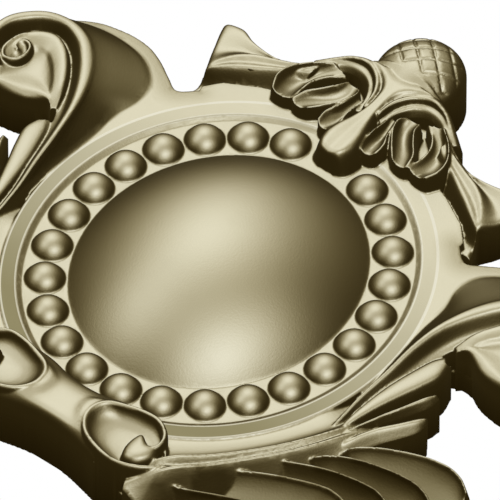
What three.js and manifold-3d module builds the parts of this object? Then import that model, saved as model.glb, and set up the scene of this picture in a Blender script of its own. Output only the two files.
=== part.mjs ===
// A cartouche: one cast or carved wall ornament with a flat back.
// A plain oval boss sits in a ring of pearls. A bow with an acorn crowns it, a leaf volute and a fan of
// flutes stand at each side, acanthus leaves spread below them, and two scrolls close the bottom.
// Millimetres. +X right, +Z up, the face looks along -Y and the flat back lies in the plane Y = 0.
// The origin is on the back, behind the middle of the oval.
import * as THREE from "three";
import Module from "manifold-3d";

// The ring: everything in it is measured from the oval line on which the pearls' middles lie.
const PEARL_LINE_HALF_WIDTH = 83.4;
const PEARL_LINE_HALF_HEIGHT = 92.5;
const PEARL_COUNT = 24;
const PEARL_GAP = 50; // left for the tongue of the bow, along the line between the first and the last
const PEARL_RADIUS = 11; // of the sphere
const PEARL_SINK = 3.6; // the sphere's middle lies this far below the channel
const CHANNEL_HALF_WIDTH = 11.5;
const CHANNEL_DEPTH = 2; // below the face of the plate
const BEVEL_WIDTH = 3;
const BAND_WIDTH = 8.2; // the flat band outside the bevel
const BAND_SHOULDER = 1; // its rounded outer edge
const BOSS_RISE = 34; // the oval boss, above the channel
const BOSS_EDGE_ANGLE = THREE.MathUtils.degToRad(47); // how steeply the boss leaves the channel

// Levels, above the flat back.
const PLATE = 24; // the plain face between the carvings
const WEB = 13; // the body behind the leaves
const BACK = 0;

// The edge of the ring's band, which the carvings spring from.
const BAND_OUT = CHANNEL_HALF_WIDTH + BEVEL_WIDTH + BAND_WIDTH + BAND_SHOULDER;
const EDGE_X = PEARL_LINE_HALF_WIDTH + BAND_OUT;
const EDGE_Z = PEARL_LINE_HALF_HEIGHT + BAND_OUT;

// The leaf stem that runs round the lower part of the ring, outward from the band's edge.
const STEM_CREST = 16.5;
const STEM_SECOND_CREST = 20.5;
const STEM_OUTER_FOOT = 27;
const STEM_RISES = [13, 9.5, 8, 7, 6, 4, -4]; // above the plate, from the scroll to the fan
const STEM_FROM = 22; // degrees round from the bottom
const STEM_TO = 78;

// The acorn.
const ACORN_HALF_WIDTH = 23.4;
const ACORN_HALF_HEIGHT = 24.6;
const ACORN_RISE = 16.5; // of its face above the plate
const ACORN_UP = 45.5; // its middle, above the band's top edge

// The bottom scrolls.
const SCROLL_EYE = [49.5, -8]; // out from the middle, up from the band's bottom edge
const SCROLL_RIM_RISE = 15.6;
const SCROLL_BUTTON = { halfWidth: 8.5, halfHeight: 9.5, rise: 14.8 };

// The spiral eye of each side volute.
const EYE_AT = [58.9, 44.1]; // out from the band's side edge, up from the middle
const EYE_HALF_WIDTH = 9;
const EYE_HALF_HEIGHT = 10.5;
const EYE_RISE = 12.5;

// How finely each form is faceted.
const STEPS = {
  ring: 36, boss: 6, pearl: 8, volute: 16, cup: 7, eye: 8, flute: 4, lobe: 6, stem: 6, roll: 5,
  tongue: 7, bowLobe: 4, bowArch: 5, tail: 5, collar: 4, acorn: 16, groove: 3,
};

const wasm = await Module();
wasm.setup();

// Solids

// Triangles from corner lists, with equal corners joined and empty triangles dropped.
function closedSolid(triangles) {
  const keys = new Map();
  const corners = [];
  const indices = [];
  const indexOf = (p) => {
    const key = `${Math.round(p.x * 1e4)},${Math.round(p.y * 1e4)},${Math.round(p.z * 1e4)}`;
    if (!keys.has(key)) {
      keys.set(key, corners.length / 3);
      corners.push(p.x, p.y, p.z);
    }
    return keys.get(key);
  };
  for (const triangle of triangles) {
    const [a, b, c] = triangle.map(indexOf);
    if (a !== b && b !== c && c !== a) indices.push(a, b, c);
  }
  const make = (triVerts) =>
    new wasm.Manifold(
      new wasm.Mesh({ numProp: 3, vertProperties: new Float32Array(corners), triVerts }),
    );
  const solid = make(new Uint32Array(indices));
  return solid.volume() > 0 ? solid : make(new Uint32Array(indices).reverse());
}

// A point in the plan at a height above the back.
const raised = (x, z, height) => new THREE.Vector3(x, -height, z);
const onBack = (p) => new THREE.Vector3(p.x, -BACK, p.z);

// The block between a carved face, whose rim is given in order, and the flat back.
function blockUnder(faces, rim) {
  const walls = rim.flatMap((p, i) => {
    const next = rim[(i + 1) % rim.length];
    return [[p, next, onBack(next)], [p, onBack(next), onBack(p)]];
  });
  const back = faces.map(([a, b, c]) => [onBack(a), onBack(c), onBack(b)]);
  return closedSolid([...faces, ...walls, ...back]);
}

// A block whose carved face is a grid of points, rows first.
function carvedGrid(grid) {
  const last = grid.length - 1;
  const side = grid[0].length - 1;
  const faces = [];
  for (let i = 0; i < last; i++) {
    for (let j = 0; j < side; j++) {
      const [a, b, c, d] = [grid[i][j], grid[i + 1][j], grid[i + 1][j + 1], grid[i][j + 1]];
      if (a.distanceTo(c) < b.distanceTo(d)) faces.push([a, b, c], [a, c, d]);
      else faces.push([a, b, d], [b, c, d]);
    }
  }
  const rim = [
    ...grid[0],
    ...grid.slice(1).map((row) => row[side]),
    ...grid[last].slice(0, side).reverse(),
    ...grid.slice(1, last).map((row) => row[0]).reverse(),
  ];
  return blockUnder(faces, rim);
}

// A block lofted across rails that run side by side along a carving.
function loft(rails, steps) {
  const curves = rails.map((rail) => new THREE.CatmullRomCurve3(rail, false, "centripetal"));
  const grid = [];
  for (let i = 0; i <= steps; i++) grid.push(curves.map((curve) => curve.getPoint(i / steps)));
  return carvedGrid(grid);
}

// A block whose face is given by rings round a middle, from the outermost ring inwards.
function mound(rings, top) {
  const count = rings[0].length;
  const faces = [];
  for (let r = 0; r + 1 < rings.length; r++) {
    for (let k = 0; k < count; k++) {
      const n = (k + 1) % count;
      faces.push([rings[r][n], rings[r][k], rings[r + 1][k]]);
      faces.push([rings[r][n], rings[r + 1][k], rings[r + 1][n]]);
    }
  }
  const inner = rings[rings.length - 1];
  for (let k = 0; k < count; k++) faces.push([inner[(k + 1) % count], inner[k], top]);
  return blockUnder(faces, rings[0]);
}

// A plain block over an outline.
function slab(outline, height) {
  const plan = outline.map(([x, z]) => new THREE.Vector2(x, z));
  const rim = outline.map(([x, z]) => raised(x, z, height));
  const around = Math.sign(THREE.ShapeUtils.area(plan));
  const face = THREE.ShapeUtils.triangulateShape(plan, []).map(([a, b, c]) => {
    const turn = Math.sign(THREE.ShapeUtils.area([plan[a], plan[b], plan[c]]));
    return turn === around ? [rim[a], rim[c], rim[b]] : [rim[a], rim[b], rim[c]];
  });
  return blockUnder(face, rim);
}

// Rails are written as [out, up, rise]: out and up from an anchor, rise above the plate.
const anchored = (ax, az, side) => (rails) =>
  rails.map((rail) => rail.map(([out, up, rise]) => raised(side * (ax + out), az + up, PLATE + rise)));
const sides = [1, -1];
const joined = (solids) => solids.reduce((all, next) => all.add(next));

// The ring

// A point of the pearl line, turned from the bottom towards +X, and moved outward across it.
function ringPoint(angle, outward) {
  const x = PEARL_LINE_HALF_WIDTH * Math.sin(angle);
  const z = -PEARL_LINE_HALF_HEIGHT * Math.cos(angle);
  const normal = new THREE.Vector2(x / PEARL_LINE_HALF_WIDTH ** 2, z / PEARL_LINE_HALF_HEIGHT ** 2);
  normal.normalize().multiplyScalar(outward);
  return new THREE.Vector2(x + normal.x, z + normal.y);
}

function ringRow(outward, height) {
  const row = [];
  for (let k = 0; k < STEPS.ring; k++) {
    const p = ringPoint((2 * Math.PI * k) / STEPS.ring, outward);
    row.push(raised(p.x, p.y, height));
  }
  return row;
}

// The height of the boss at a share of the way out to its edge: a round cap, scaled to its rise.
function bossHeight(share) {
  const sine = Math.sin(BOSS_EDGE_ANGLE);
  const cap = Math.sqrt(1 - (share * sine) ** 2) - Math.cos(BOSS_EDGE_ANGLE);
  return (BOSS_RISE * cap) / (1 - Math.cos(BOSS_EDGE_ANGLE));
}

function ringAndBoss() {
  const floor = PLATE - CHANNEL_DEPTH;
  const bandIn = CHANNEL_HALF_WIDTH + BEVEL_WIDTH;
  const rings = [
    ringRow(BAND_OUT, PLATE - BAND_SHOULDER),
    ringRow(BAND_OUT - BAND_SHOULDER, PLATE),
    ringRow(bandIn, PLATE),
    ringRow(CHANNEL_HALF_WIDTH, floor),
    ringRow(-CHANNEL_HALF_WIDTH, floor),
  ];
  const edge = rings[rings.length - 1];
  for (let r = STEPS.boss - 1; r > 0; r--) {
    const share = r / STEPS.boss;
    rings.push(edge.map((p) => raised(p.x * share, p.z * share, floor + bossHeight(share))));
  }
  return mound(rings, raised(0, 0, floor + BOSS_RISE));
}

// Angles of equal distances along the pearl line, which leave the gap at the top.
function pearlAngles() {
  const fine = 3600;
  const lengths = [0];
  let before = ringPoint(Math.PI, 0);
  for (let k = 1; k <= fine; k++) {
    const here = ringPoint(Math.PI + (2 * Math.PI * k) / fine, 0);
    lengths.push(lengths[k - 1] + here.distanceTo(before));
    before = here;
  }
  const angles = [];
  for (let n = 0; n < PEARL_COUNT; n++) {
    const goal = PEARL_GAP / 2 + ((lengths[fine] - PEARL_GAP) * n) / (PEARL_COUNT - 1);
    const k = lengths.findIndex((length) => length >= goal);
    angles.push(Math.PI + (2 * Math.PI * k) / fine);
  }
  return angles;
}

function pearl(angle) {
  const floor = PLATE - CHANNEL_DEPTH;
  const middle = ringPoint(angle, 0);
  const tilts = [19, 50].map(THREE.MathUtils.degToRad); // above the sphere's equator
  const rings = tilts.map((tilt) => {
    const row = [];
    for (let k = 0; k < STEPS.pearl; k++) {
      const turn = (2 * Math.PI * k) / STEPS.pearl;
      const reach = PEARL_RADIUS * Math.cos(tilt);
      const height = floor - PEARL_SINK + PEARL_RADIUS * Math.sin(tilt);
      row.push(raised(middle.x + reach * Math.cos(turn), middle.y + reach * Math.sin(turn), height));
    }
    return row;
  });
  return mound(rings, raised(middle.x, middle.y, floor - PEARL_SINK + PEARL_RADIUS));
}

// The side volutes

// From the foot on the plate, up the hollow face to the crest, over it and down into the groove.
const VOLUTE_RAILS = [
  [[1.5, -46, -4], [1.5, -24, -4], [0.8, -6, -3], [-0.5, 12, -2.5], [-2, 34, -2], [-4, 50, -1.5], [-7, 64, -1],
    [-4, 77, -1], [8, 87, -1], [25, 90.5, -1], [45, 89, -1.5], [64, 80, -2.5], [77, 65, -3.5], [81, 48, -4.5],
    [78, 34, -5], [66, 22, -6]],
  [[2, -46, 1], [2.6, -24, 5], [4.7, -6, 8.7], [6.3, 12, 12.2], [8.7, 27, 13.8], [12, 39, 14.1], [17, 50, 14.4],
    [24, 60.5, 14.8], [33.5, 69, 15.5], [44.8, 72.6, 16], [57.2, 69.9, 17], [66.5, 62.5, 17.5],
    [72, 53.5, 18], [73.4, 43.5, 17.5], [70, 34.5, 16], [61, 27, 13]],
  [[3, -46, 1], [3.8, -24, 5], [6.4, -6, 8.5], [8.4, 12, 12], [11.4, 27, 13.6], [15.5, 38, 14], [21.2, 48.5, 14.2],
    [28, 58, 14.8], [36, 65.5, 15.4], [45.4, 69, 16], [56, 66.4, 17], [63.8, 59.6, 17.4],
    [68.8, 51.6, 17.8], [69.8, 43.6, 17.4], [66.8, 36.6, 16], [59, 30.4, 13]],
  [[4.5, -46, -2], [6, -24, 1.5], [9.5, -6, 3.5], [12, 12, 5], [15.5, 26, 5.5], [20, 36.5, 6], [25.5, 46, 6],
    [31.5, 54.5, 6], [38.5, 61.5, 6], [46, 65, 6], [54.8, 62.8, 6.5], [61.5, 57, 7],
    [65.6, 50.2, 7], [66.4, 44, 7], [63.5, 38.8, 7], [57, 33.5, 7]],
  [[6, -46, -4], [8, -24, -1], [12, -6, 1.5], [15, 12, 2.5], [19, 25, 3.5], [23.5, 34.5, 4.5], [29, 43.5, 5],
    [34.5, 51, 5], [40.5, 57.5, 5], [46.5, 60.5, 5], [53.5, 58.6, 5.5], [59, 54, 6],
    [62.3, 48.8, 6], [62.8, 44.4, 6], [60.5, 41, 6], [55.5, 36.5, 6]],
];

// The cup inside the volute, from the groove over the inner crest and through the hollow to the lower edge.
const CUP_RAILS = [
  [[20.5, 28.6, 3], [25.5, 38, 5.5], [32, 48.5, 5.5], [40, 57.5, 5.5], [48, 62, 5.5], [56.5, 60, 6], [62.5, 54, 6.5],
    [65.5, 44, 6.5], [64, 36, 6.5], [60.5, 29.5, 6]],
  [[21.4, 28.3, 5.6], [27.6, 37.4, 9.4], [33.8, 46.6, 10.6], [40.8, 54.4, 11.4], [48, 58.6, 11.8], [55, 57, 12],
    [60.4, 52, 12], [62.6, 44, 12], [61, 36.6, 11], [58.5, 28.8, 9.5]],
  [[22.3, 27.7, 6], [28.6, 34.6, 8.2], [34, 41.4, 8], [40, 47.4, 7.6], [45.6, 50.6, 7.4], [50.4, 50, 7.6],
    [54, 46, 8], [55.6, 40, 8.2], [55.8, 33.6, 8.2], [56.8, 27.5, 8.5]],
  [[22.8, 27.2, 6], [27.4, 32.2, 7.6], [32, 36, 7], [37, 38.6, 6.2], [42, 39.8, 5.8], [46.4, 39, 5.8],
    [50, 36.4, 6.2], [52, 33, 6.8], [53.6, 29.6, 7.4], [56.2, 26, 8]],
  [[22.8, 26.8, 5.8], [25.8, 29.8, 7.4], [29.2, 31.2, 7.6], [33.2, 31, 7.4], [37.4, 29.6, 7.2], [41.4, 28.2, 7.2],
    [45.4, 26.8, 7.4], [49, 25.8, 7.6], [52, 25, 7.8], [56, 24.6, 7.8]],
  [[22.7, 26.3, 4], [25, 28.8, 5.6], [27.8, 29.8, 5.8], [31.2, 29.2, 5.4], [35.2, 27.2, 5], [39, 25.3, 5],
    [43.6, 23.8, 5], [47.8, 23, 5], [51.6, 22.5, 5], [56, 22.4, 5]],
  [[22.5, 25.8, -2], [25, 28.4, -2], [27.7, 29.4, -2], [31, 28.8, -2], [35, 26.6, -2], [38.8, 24.7, -2],
    [43.4, 23.2, -2], [47.8, 22.4, -2], [51.6, 21.9, -2], [56, 21.8, -2]],
];

// The hollow face is a plain ramp: the rail inside it lies half-way from the foot to the crest.
const VOLUTE_FACE = 0.5;

function volute(side) {
  const place = anchored(EDGE_X, 0, side);
  const [foot, crest, ...inside] = VOLUTE_RAILS;
  const face = foot.map((point, i) => point.map((value, axis) => value + (crest[i][axis] - value) * VOLUTE_FACE));
  const leaf = loft(place([foot, face, crest, ...inside]), STEPS.volute);
  return joined([leaf, loft(place(CUP_RAILS), STEPS.cup), voluteEye(side)]);
}

// A rounded rim, a groove and a button.
function voluteEye(side) {
  const profile = [[1, 4], [0.72, EYE_RISE], [0.52, 7], [0.3, 10.5]];
  const [out, up] = EYE_AT;
  const rings = profile.map(([share, rise]) => {
    const row = [];
    for (let k = 0; k < STEPS.eye; k++) {
      const turn = (2 * Math.PI * k) / STEPS.eye;
      const x = EDGE_X + out + share * EYE_HALF_WIDTH * Math.cos(turn);
      row.push(raised(side * x, up + share * EYE_HALF_HEIGHT * Math.sin(turn), PLATE + rise));
    }
    return side > 0 ? row : row.reverse();
  });
  return mound(rings, raised(side * (EDGE_X + out), up, PLATE + 11.8));
}

// The fan of flutes: rails from the stem to each tip.
const FLUTES = [
  [
    [[5.5, -44, -2], [6.5, -25, 0.5], [9, -8, 1.5], [12.5, 6, 2.5], [16, 17, 3], [19.5, 22.8, 3]],
    [[6.4, -44.5, 2], [8.2, -25.5, 4.5], [11, -8.5, 5], [14.5, 5, 5.2], [18, 15.5, 5.2], [21, 20.8, 4.6]],
    [[8, -45, 2], [12.8, -27.5, 4.5], [18, -12, 5], [22.3, 0, 5.2], [25, 10.5, 5.2], [23.6, 18.6, 4.6]],
    [[9.2, -46, -3], [14.2, -28.3, 0], [19.6, -12.8, 1], [24.1, -0.8, 1.5], [27, 11, 2], [24.6, 21, 2]],
  ],
  [
    [[8.5, -48, -3], [16, -28.5, -1], [21.5, -16, 0], [26, -5, 0.5], [29.8, 1.8, 0.5]],
    [[9.8, -48, 2], [18.5, -28, 4], [25, -15, 4.6], [29.5, -5, 4.6], [31.6, 0.4, 3.2]],
    [[11.2, -48, -3], [20.8, -28, -1.5], [27.6, -15.5, -1], [32.6, -5.5, 0], [33.4, 1, 0.5]],
  ],
  [
    [[11, -52, -3], [17.5, -36, -2], [25.5, -24, -1.5], [32.6, -14, -1], [35.6, -11.8, -1]],
    [[14, -53, 2], [21.5, -37, 3.5], [29, -26.5, 3.5], [34.6, -18, 3], [36.6, -14.4, 2]],
    [[19, -54, -4], [26.5, -39, -2.5], [32.8, -29.5, -2], [37.3, -21.5, -1.5], [38.2, -15.4, -1]],
  ],
];

// The acanthus lobes: the crest of each from the stem to its tip, and the foot of its face.
const LOBES = [
  {
    crest: [[20, -54, 4], [28.7, -47, 4.6], [36.9, -42.3, 4.6], [46.1, -37.9, 4.4], [56.2, -34.4, 4], [66.2, -32.9, 3.4],
      [74, -34.2, 2], [80.6, -38, -0.5]],
    foot: [[30, -70, -6.5], [41, -65, -6], [51, -61.6, -6], [60, -60, -6], [68, -59.6, -6], [75, -60, -6.4],
      [80, -60.6, -7], [83.4, -60, -8]],
  },
  {
    crest: [[10, -69, 4], [18.5, -62.4, 4.6], [29, -57.6, 4.8], [40, -54.2, 4.4], [51, -52, 3.8], [61, -51.6, 3],
      [70, -54.8, 1.4], [76, -61.4, -2]],
    foot: [[16, -82, -6.5], [27, -77, -6], [38, -73.6, -6], [48, -71.6, -6], [57, -71.4, -6], [65, -73.4, -6.4],
      [71, -77, -7], [75, -81.6, -8]],
  },
  {
    crest: [[-2, -82.5, 4], [7, -78, 4.8], [17, -73.7, 5], [28, -70.2, 4.6], [39, -67.9, 4], [48, -67.4, 3.2],
      [57, -71, 2], [64.4, -79, 0], [68, -88, -3]],
    foot: [[4, -96, -6.5], [13, -92.4, -6], [22, -89.4, -6], [31, -87, -6], [40, -86, -6], [47.4, -87.4, -6],
      [53, -92, -6.5], [57, -98, -7.2], [59.6, -104, -8]],
  },
  {
    crest: [[-30, -116, 4], [-20, -106, 5], [-9, -98, 5.2], [4, -91, 5.2], [17, -85.2, 4.8], [30, -81.4, 4],
      [41.5, -84, 2.6], [49.5, -94, 0.5], [53, -106, -3]],
    foot: [[-26, -131, -6.5], [-15, -125.6, -6], [-4, -121, -6], [6, -117, -6], [15, -114, -6], [24, -112.4, -6],
      [31.6, -114, -6.4], [37, -118.4, -7], [41.4, -123, -8]],
  },
  {
    crest: [[-42, -133, 4], [-25, -125, 4.3], [-11.5, -118.5, 4.2], [1.5, -112.8, 4], [13, -109.8, 3.5],
      [23.5, -111.8, 2.5], [31, -118.6, 0.5], [34.5, -128, -3]],
    foot: [[-44, -146, -10], [-25, -144, -10], [-9, -140, -10], [4, -136.5, -10], [13, -134.5, -10],
      [19, -135, -10], [23.5, -136.5, -10], [27, -138.5, -10]],
  },
];

// From the foot behind the crest, over it and down the hollow face to the next lobe: shares of the way and of the fall.
const LOBE_BACK = { behind: 2.2, below: 7.5 };
const LOBE_FACE = [[0.24, 0.36], [0.6, 0.76], [1, 1]];

function lobe({ crest, foot }, side) {
  const behind = crest.map(([x, z, rise], i) => {
    const [before, after] = [crest[Math.max(i - 1, 0)], crest[Math.min(i + 1, crest.length - 1)]];
    const along = new THREE.Vector2(after[0] - before[0], after[1] - before[1]).normalize();
    return [x - along.y * LOBE_BACK.behind, z + along.x * LOBE_BACK.behind, rise - LOBE_BACK.below];
  });
  const face = LOBE_FACE.map(([way, fall]) =>
    crest.map(([x, z, rise], i) => [
      x + (foot[i][0] - x) * way, z + (foot[i][1] - z) * way, rise + (foot[i][2] - rise) * fall,
    ]));
  return loft(anchored(EDGE_X, 0, side)([behind, crest, ...face]), STEPS.lobe);
}

// The stem's rails follow the ring, so they are worked out from it: a hollow, two crests and the outer foot,
// each with its depth below the crest.
function stem(side) {
  const rows = [
    [-2, 12],
    [STEM_CREST * 0.55, 7],
    [STEM_CREST, 0],
    [(STEM_CREST + STEM_SECOND_CREST) / 2, 2],
    [STEM_SECOND_CREST, 0],
    [STEM_OUTER_FOOT, 9],
  ];
  const steps = STEM_RISES.length - 1;
  const rails = rows.map(([outward, below]) =>
    STEM_RISES.map((rise, k) => {
      const angle = THREE.MathUtils.degToRad(STEM_FROM + ((STEM_TO - STEM_FROM) * k) / steps);
      const p = ringPoint(angle, BAND_OUT + outward);
      return raised(side * p.x, p.y, PLATE + rise - below);
    }));
  return loft(rails, STEPS.stem);
}

// The bottom scrolls and the roll between them

// The crest of a scroll's rim, all the way round.
const SCROLL_RIM = [[63, -12], [57.5, -19.4], [46, -24.4], [33.1, -23], [21.5, -17.4], [16.2, -8.9], [17, -0.8],
  [20.8, 3.6], [27.5, 6.4], [37.9, 9.2], [47.2, 9.5], [55.4, 5.6], [60, -0.6], [63, -6]];

function scroll(side) {
  const profile = [[1.06, 6], [1, SCROLL_RIM_RISE], [0.86, 11.6], [0.62, 8.4], [0.34, 7.4]];
  const [out, up] = SCROLL_EYE;
  const rings = profile.map(([share, rise]) => {
    const row = SCROLL_RIM.map(([x, z]) =>
      raised(side * (out + share * (x - out)), -EDGE_Z + up + share * (z - up), PLATE + rise));
    return side > 0 ? row.reverse() : row;
  });
  const dish = mound(rings, raised(side * out, -EDGE_Z + up, PLATE + 7.4));
  const { halfWidth, halfHeight, rise } = SCROLL_BUTTON;
  const steps = [[1, rise - 8], [0.85, rise - 1.5]].map(([share, height]) => {
    const row = [];
    for (let k = 0; k < STEPS.eye; k++) {
      const turn = (2 * Math.PI * k) / STEPS.eye;
      const x = out + 1.5 + share * halfWidth * Math.cos(turn);
      row.push(raised(side * x, -EDGE_Z + up - 1.5 + share * halfHeight * Math.sin(turn), PLATE + height));
    }
    return side > 0 ? row : row.reverse();
  });
  return dish.add(mound(steps, raised(side * (out + 1.5), -EDGE_Z + up - 1.5, PLATE + rise)));
}

// Rails of the roll's right half, from the middle out to the scroll; its left half mirrors them.
const ROLL_RAILS = [
  [[0, 12.4, -2], [12, 13.2, -2], [22, 15.2, -2], [34, 16, -2]],
  [[0, 10.4, 5.5], [12, 11.2, 6], [22, 13, 7], [34, 14, 7]],
  [[0, 6.5, 10.2], [12, 7, 10.8], [20, 8.5, 12.5], [30, 9, 13]],
  [[0, 0, 13], [11, 0, 13.3], [19, 0, 15], [26, 0, 15]],
  [[0, -9, 13.4], [11, -9, 13.8], [19, -10, 15.3], [26, -12, 15]],
  [[0, -17.5, 12.6], [11, -18, 12.8], [21, -19.4, 13.6], [30, -22, 13]],
  [[0, -19.6, 10], [11, -20.2, 10], [23, -22.4, 10], [34, -25.6, 10]],
  [[0, -20.8, 5], [12, -21.5, 5], [25, -24.2, 5], [36, -27, 5]],
];

function bottomRoll() {
  const mirrored = ROLL_RAILS.map((rail) => [
    ...rail.slice(1).map(([x, z, rise]) => [-x, z, rise]).reverse(),
    ...rail,
  ]);
  return loft(anchored(0, -EDGE_Z, 1)(mirrored), STEPS.roll);
}

// The bow and its tongue

const TONGUE_HALF_RAILS = [
  [[0, -30.4, 6], [0, -28.6, 12], [0, -22, 13], [0, -12, 13], [0, -3, 12.6], [0, 6, 12.6], [0, 14, 13], [0, 21, 13.6],
    [0, 27, 14], [0, 32.5, 13]],
  [[3.2, -30.2, 6], [5.6, -27.6, 12], [8, -20, 12.8], [7, -11.5, 12.8], [4.6, -3, 12.4], [2.8, 6, 12.4],
    [2.6, 14, 12.8], [3.8, 21, 13.2], [8.5, 27, 13.6], [20, 32.5, 12.6]],
  [[5, -31, -4], [10.5, -28, -4], [13, -20, -4], [11.5, -11.5, -4], [9, -3, -2], [6, 6, 0], [5.5, 14, 2],
    [8, 21, 4], [15, 27, 6], [23, 30.5, 8]],
];

function tongue() {
  const [middle, edge, foot] = TONGUE_HALF_RAILS;
  const left = (rail) => rail.map(([x, z, rise]) => [-x, z, rise]);
  return loft(anchored(0, EDGE_Z, 1)([left(foot), left(edge), middle, edge, foot]), STEPS.tongue);
}

// Each carving of the bow's right half: rails [out from the middle, up from the band's top edge, rise].
const BOW_LOBES = {
  smallLobe: [
    [[6.5, 12, 2], [6.4, 5, 0], [6, -3, -2], [6.2, -10, -4], [8.6, -15, -6]],
    [[8, 12, 7], [9, 5.4, 10], [8.8, -2, 11], [8.6, -8.6, 10.6], [10.2, -13, 10]],
    [[10, 12, 7], [11.4, 5.6, 9.2], [12.2, -1.6, 9.8], [12.4, -8, 10], [13.4, -14.6, 9.6]],
    [[12, 12, 7], [14, 6, 10], [16, -1, 11], [18.4, -6.6, 10.6], [18, -11, 10]],
    [[13.4, 12, 2], [15.6, 6, 1], [17.8, -0.6, 0], [20.6, -6.6, -2], [19.8, -12.6, -6]],
  ],
  middleLobe: [
    [[14, 16, 2], [11.6, 11, 1], [13, 4, 0], [18.6, -4.6, -1], [25.4, -10.8, -4]],
    [[15.4, 16.4, 8], [13.6, 11.6, 10.4], [15.4, 4.8, 11], [20.8, -3.4, 11], [26.6, -9.2, 10.4]],
    [[19, 17, 8], [18.6, 11.6, 9], [21.6, 5, 9.4], [26.6, -2.4, 9.8], [31, -11.2, 10.4]],
    [[23, 17, 8], [24.6, 10.4, 10.6], [29.4, 3.2, 11.2], [34.6, -3.4, 11], [36, -9.8, 10.4]],
    [[24.4, 17.4, 2], [26.6, 11, 1], [31.4, 4, 0], [36.6, -3, -1], [38, -10.8, -4]],
  ],
  largeLobe: [
    [[25, 19, 2], [32, 13, 1], [35.5, 6, 0], [36, -2, -1], [35, -9, -4]],
    [[26, 19.4, 7], [33.4, 13.6, 7.5], [37.4, 6.2, 8], [38, -2, 8.6], [36.4, -9.6, 10]],
    [[31, 20.6, 9], [38.6, 14, 8.6], [43.4, 5.6, 8.8], [44.4, -3.4, 9.2], [42.4, -13, 10.6]],
    [[35, 21, 10.4], [44.4, 12.8, 11.6], [50.8, 3.5, 12.4], [52, -4, 12.2], [49, -10.8, 11.4]],
    [[36.6, 21.6, 4], [46, 13.8, 3], [52.8, 4.5, 1], [54.4, -4.6, -2], [51, -12, -6]],
  ],
};

const BOW_ARCHES = {
  upperArch: [
    [[5.6, 5.5, 8], [7.6, 16, 9], [13, 24, 9], [21, 28, 8], [29, 26.4, 6], [35.4, 22, 4], [43.5, 15.5, 1]],
    [[4.6, 6, 12.4], [6.6, 17, 12.8], [12.6, 25.6, 13], [21, 29.8, 13], [29.4, 28.2, 12], [36.4, 23.6, 10],
      [45, 17, 7]],
    [[3.6, 6.6, 12.2], [5.6, 18.2, 12.6], [12, 27.2, 12.8], [21, 31.6, 12.6], [30.2, 29.8, 11], [37.6, 25, 9],
      [46.4, 18.4, 6]],
    [[2.4, 7.2, 9], [4.4, 19.6, 10], [11, 29.4, 11], [20.6, 34, 10], [31, 32, 4], [39, 26.8, 2], [48, 20.2, 0]],
  ],
  lowerArch: [
    [[8.6, 3.6, 2], [10.4, 13, 3], [15.4, 20.4, 4], [22.4, 23.6, 5], [29.4, 22.4, 5], [35, 17.8, 4], [41, 10.4, 2]],
    [[7.4, 4, 8], [9.4, 14.6, 8.6], [14.8, 22.8, 9], [22.4, 26.2, 9], [30.4, 24.8, 9], [37, 19.8, 8.6],
      [43.4, 11.8, 7]],
    [[6.2, 4.4, 8], [8.4, 16.2, 8.6], [14.2, 25.2, 9], [22.4, 28.8, 9], [31.4, 27.2, 9], [38.8, 21.8, 8.6],
      [45.6, 13.2, 7]],
  ],
};

// The tail of the bow: the upper edge, the folded leaf and the slope down to the plate.
const TAIL_RAILS = [
  [[36, 24, 2], [45, 17, 2], [54, 12, 1], [62, 9.6, 1], [71, 9.8, 1], [79.5, 11.6, 1], [88.5, 15.8, 0], [96, 15.6, 0]],
  [[36, 22, 8], [45, 15.4, 7.4], [54, 10.6, 6.8], [62, 8.2, 6], [71, 8.4, 5.4], [79.5, 10, 5], [88, 13.4, 4.4],
    [97, 12.6, 3]],
  [[39, 18.6, 8], [47.2, 13.2, 6.4], [55, 10, 5], [63, 7.2, 4.2], [71.4, 5.4, 3.6], [79.6, 2.4, 3.4], [86.4, -2, 3],
    [91.5, -6.4, 2]],
  [[40, 17, 9], [48, 11.5, 8.6], [55.5, 8, 8.4], [63, 5, 8.2], [70.6, 2, 8], [77.5, -3, 7.6], [82.8, -9.2, 6.6],
    [86.4, -15.2, 5]],
  [[40.6, 14, 8.4], [48.8, 8.4, 7.6], [56.2, 4.4, 7.2], [63.5, 0.8, 7], [70.8, -3.2, 6.8], [77.2, -7.4, 6.4],
    [82.2, -11.8, 5.6], [86, -16, 4.6]],
  [[41, 11, 8.6], [49.5, 5, 8], [57, 0.8, 7.8], [64, -3.8, 7.6], [70.8, -8, 7.4], [76.6, -11.6, 7], [81.6, -14.6, 6],
    [85.6, -17, 4.6]],
  [[43, 4, 2], [51, -2.5, 0], [58.2, -7.5, -1], [65.2, -12, -1.5], [71.6, -15.6, -2], [77.2, -18.6, -2],
    [82, -21, -2], [86.8, -22.4, -2]],
  [[46, -8, -2], [54, -12, -2], [61.5, -15.6, -2], [68.8, -19.3, -2], [74, -22.4, -2], [79, -25, -2],
    [83.7, -27.2, -2], [88.3, -27.6, -2]],
];

function bow(side) {
  const place = anchored(0, EDGE_Z, side);
  const lobes = Object.values(BOW_LOBES).map((rails) => loft(place(rails), STEPS.bowLobe));
  const arches = Object.values(BOW_ARCHES).map((rails) => loft(place(rails), STEPS.bowArch));
  return joined([...lobes, ...arches, loft(place(TAIL_RAILS), STEPS.tail)]);
}

// The acorn, with a lattice of grooves over its nut, and the collar that it sits in

function acorn() {
  const middle = EDGE_Z + ACORN_UP;
  const rings = [];
  for (const tilt of [0, 22, 48, 70].map(THREE.MathUtils.degToRad)) {
    const row = [];
    for (let k = 0; k < STEPS.acorn; k++) {
      const turn = (2 * Math.PI * k) / STEPS.acorn;
      const x = ACORN_HALF_WIDTH * Math.cos(tilt) * Math.cos(turn);
      const z = ACORN_HALF_HEIGHT * Math.cos(tilt) * Math.sin(turn);
      row.push(raised(x, middle + z, PLATE + ACORN_RISE * Math.sin(tilt)));
    }
    rings.push(row);
  }
  return mound(rings, raised(0, middle, PLATE + ACORN_RISE));
}

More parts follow.
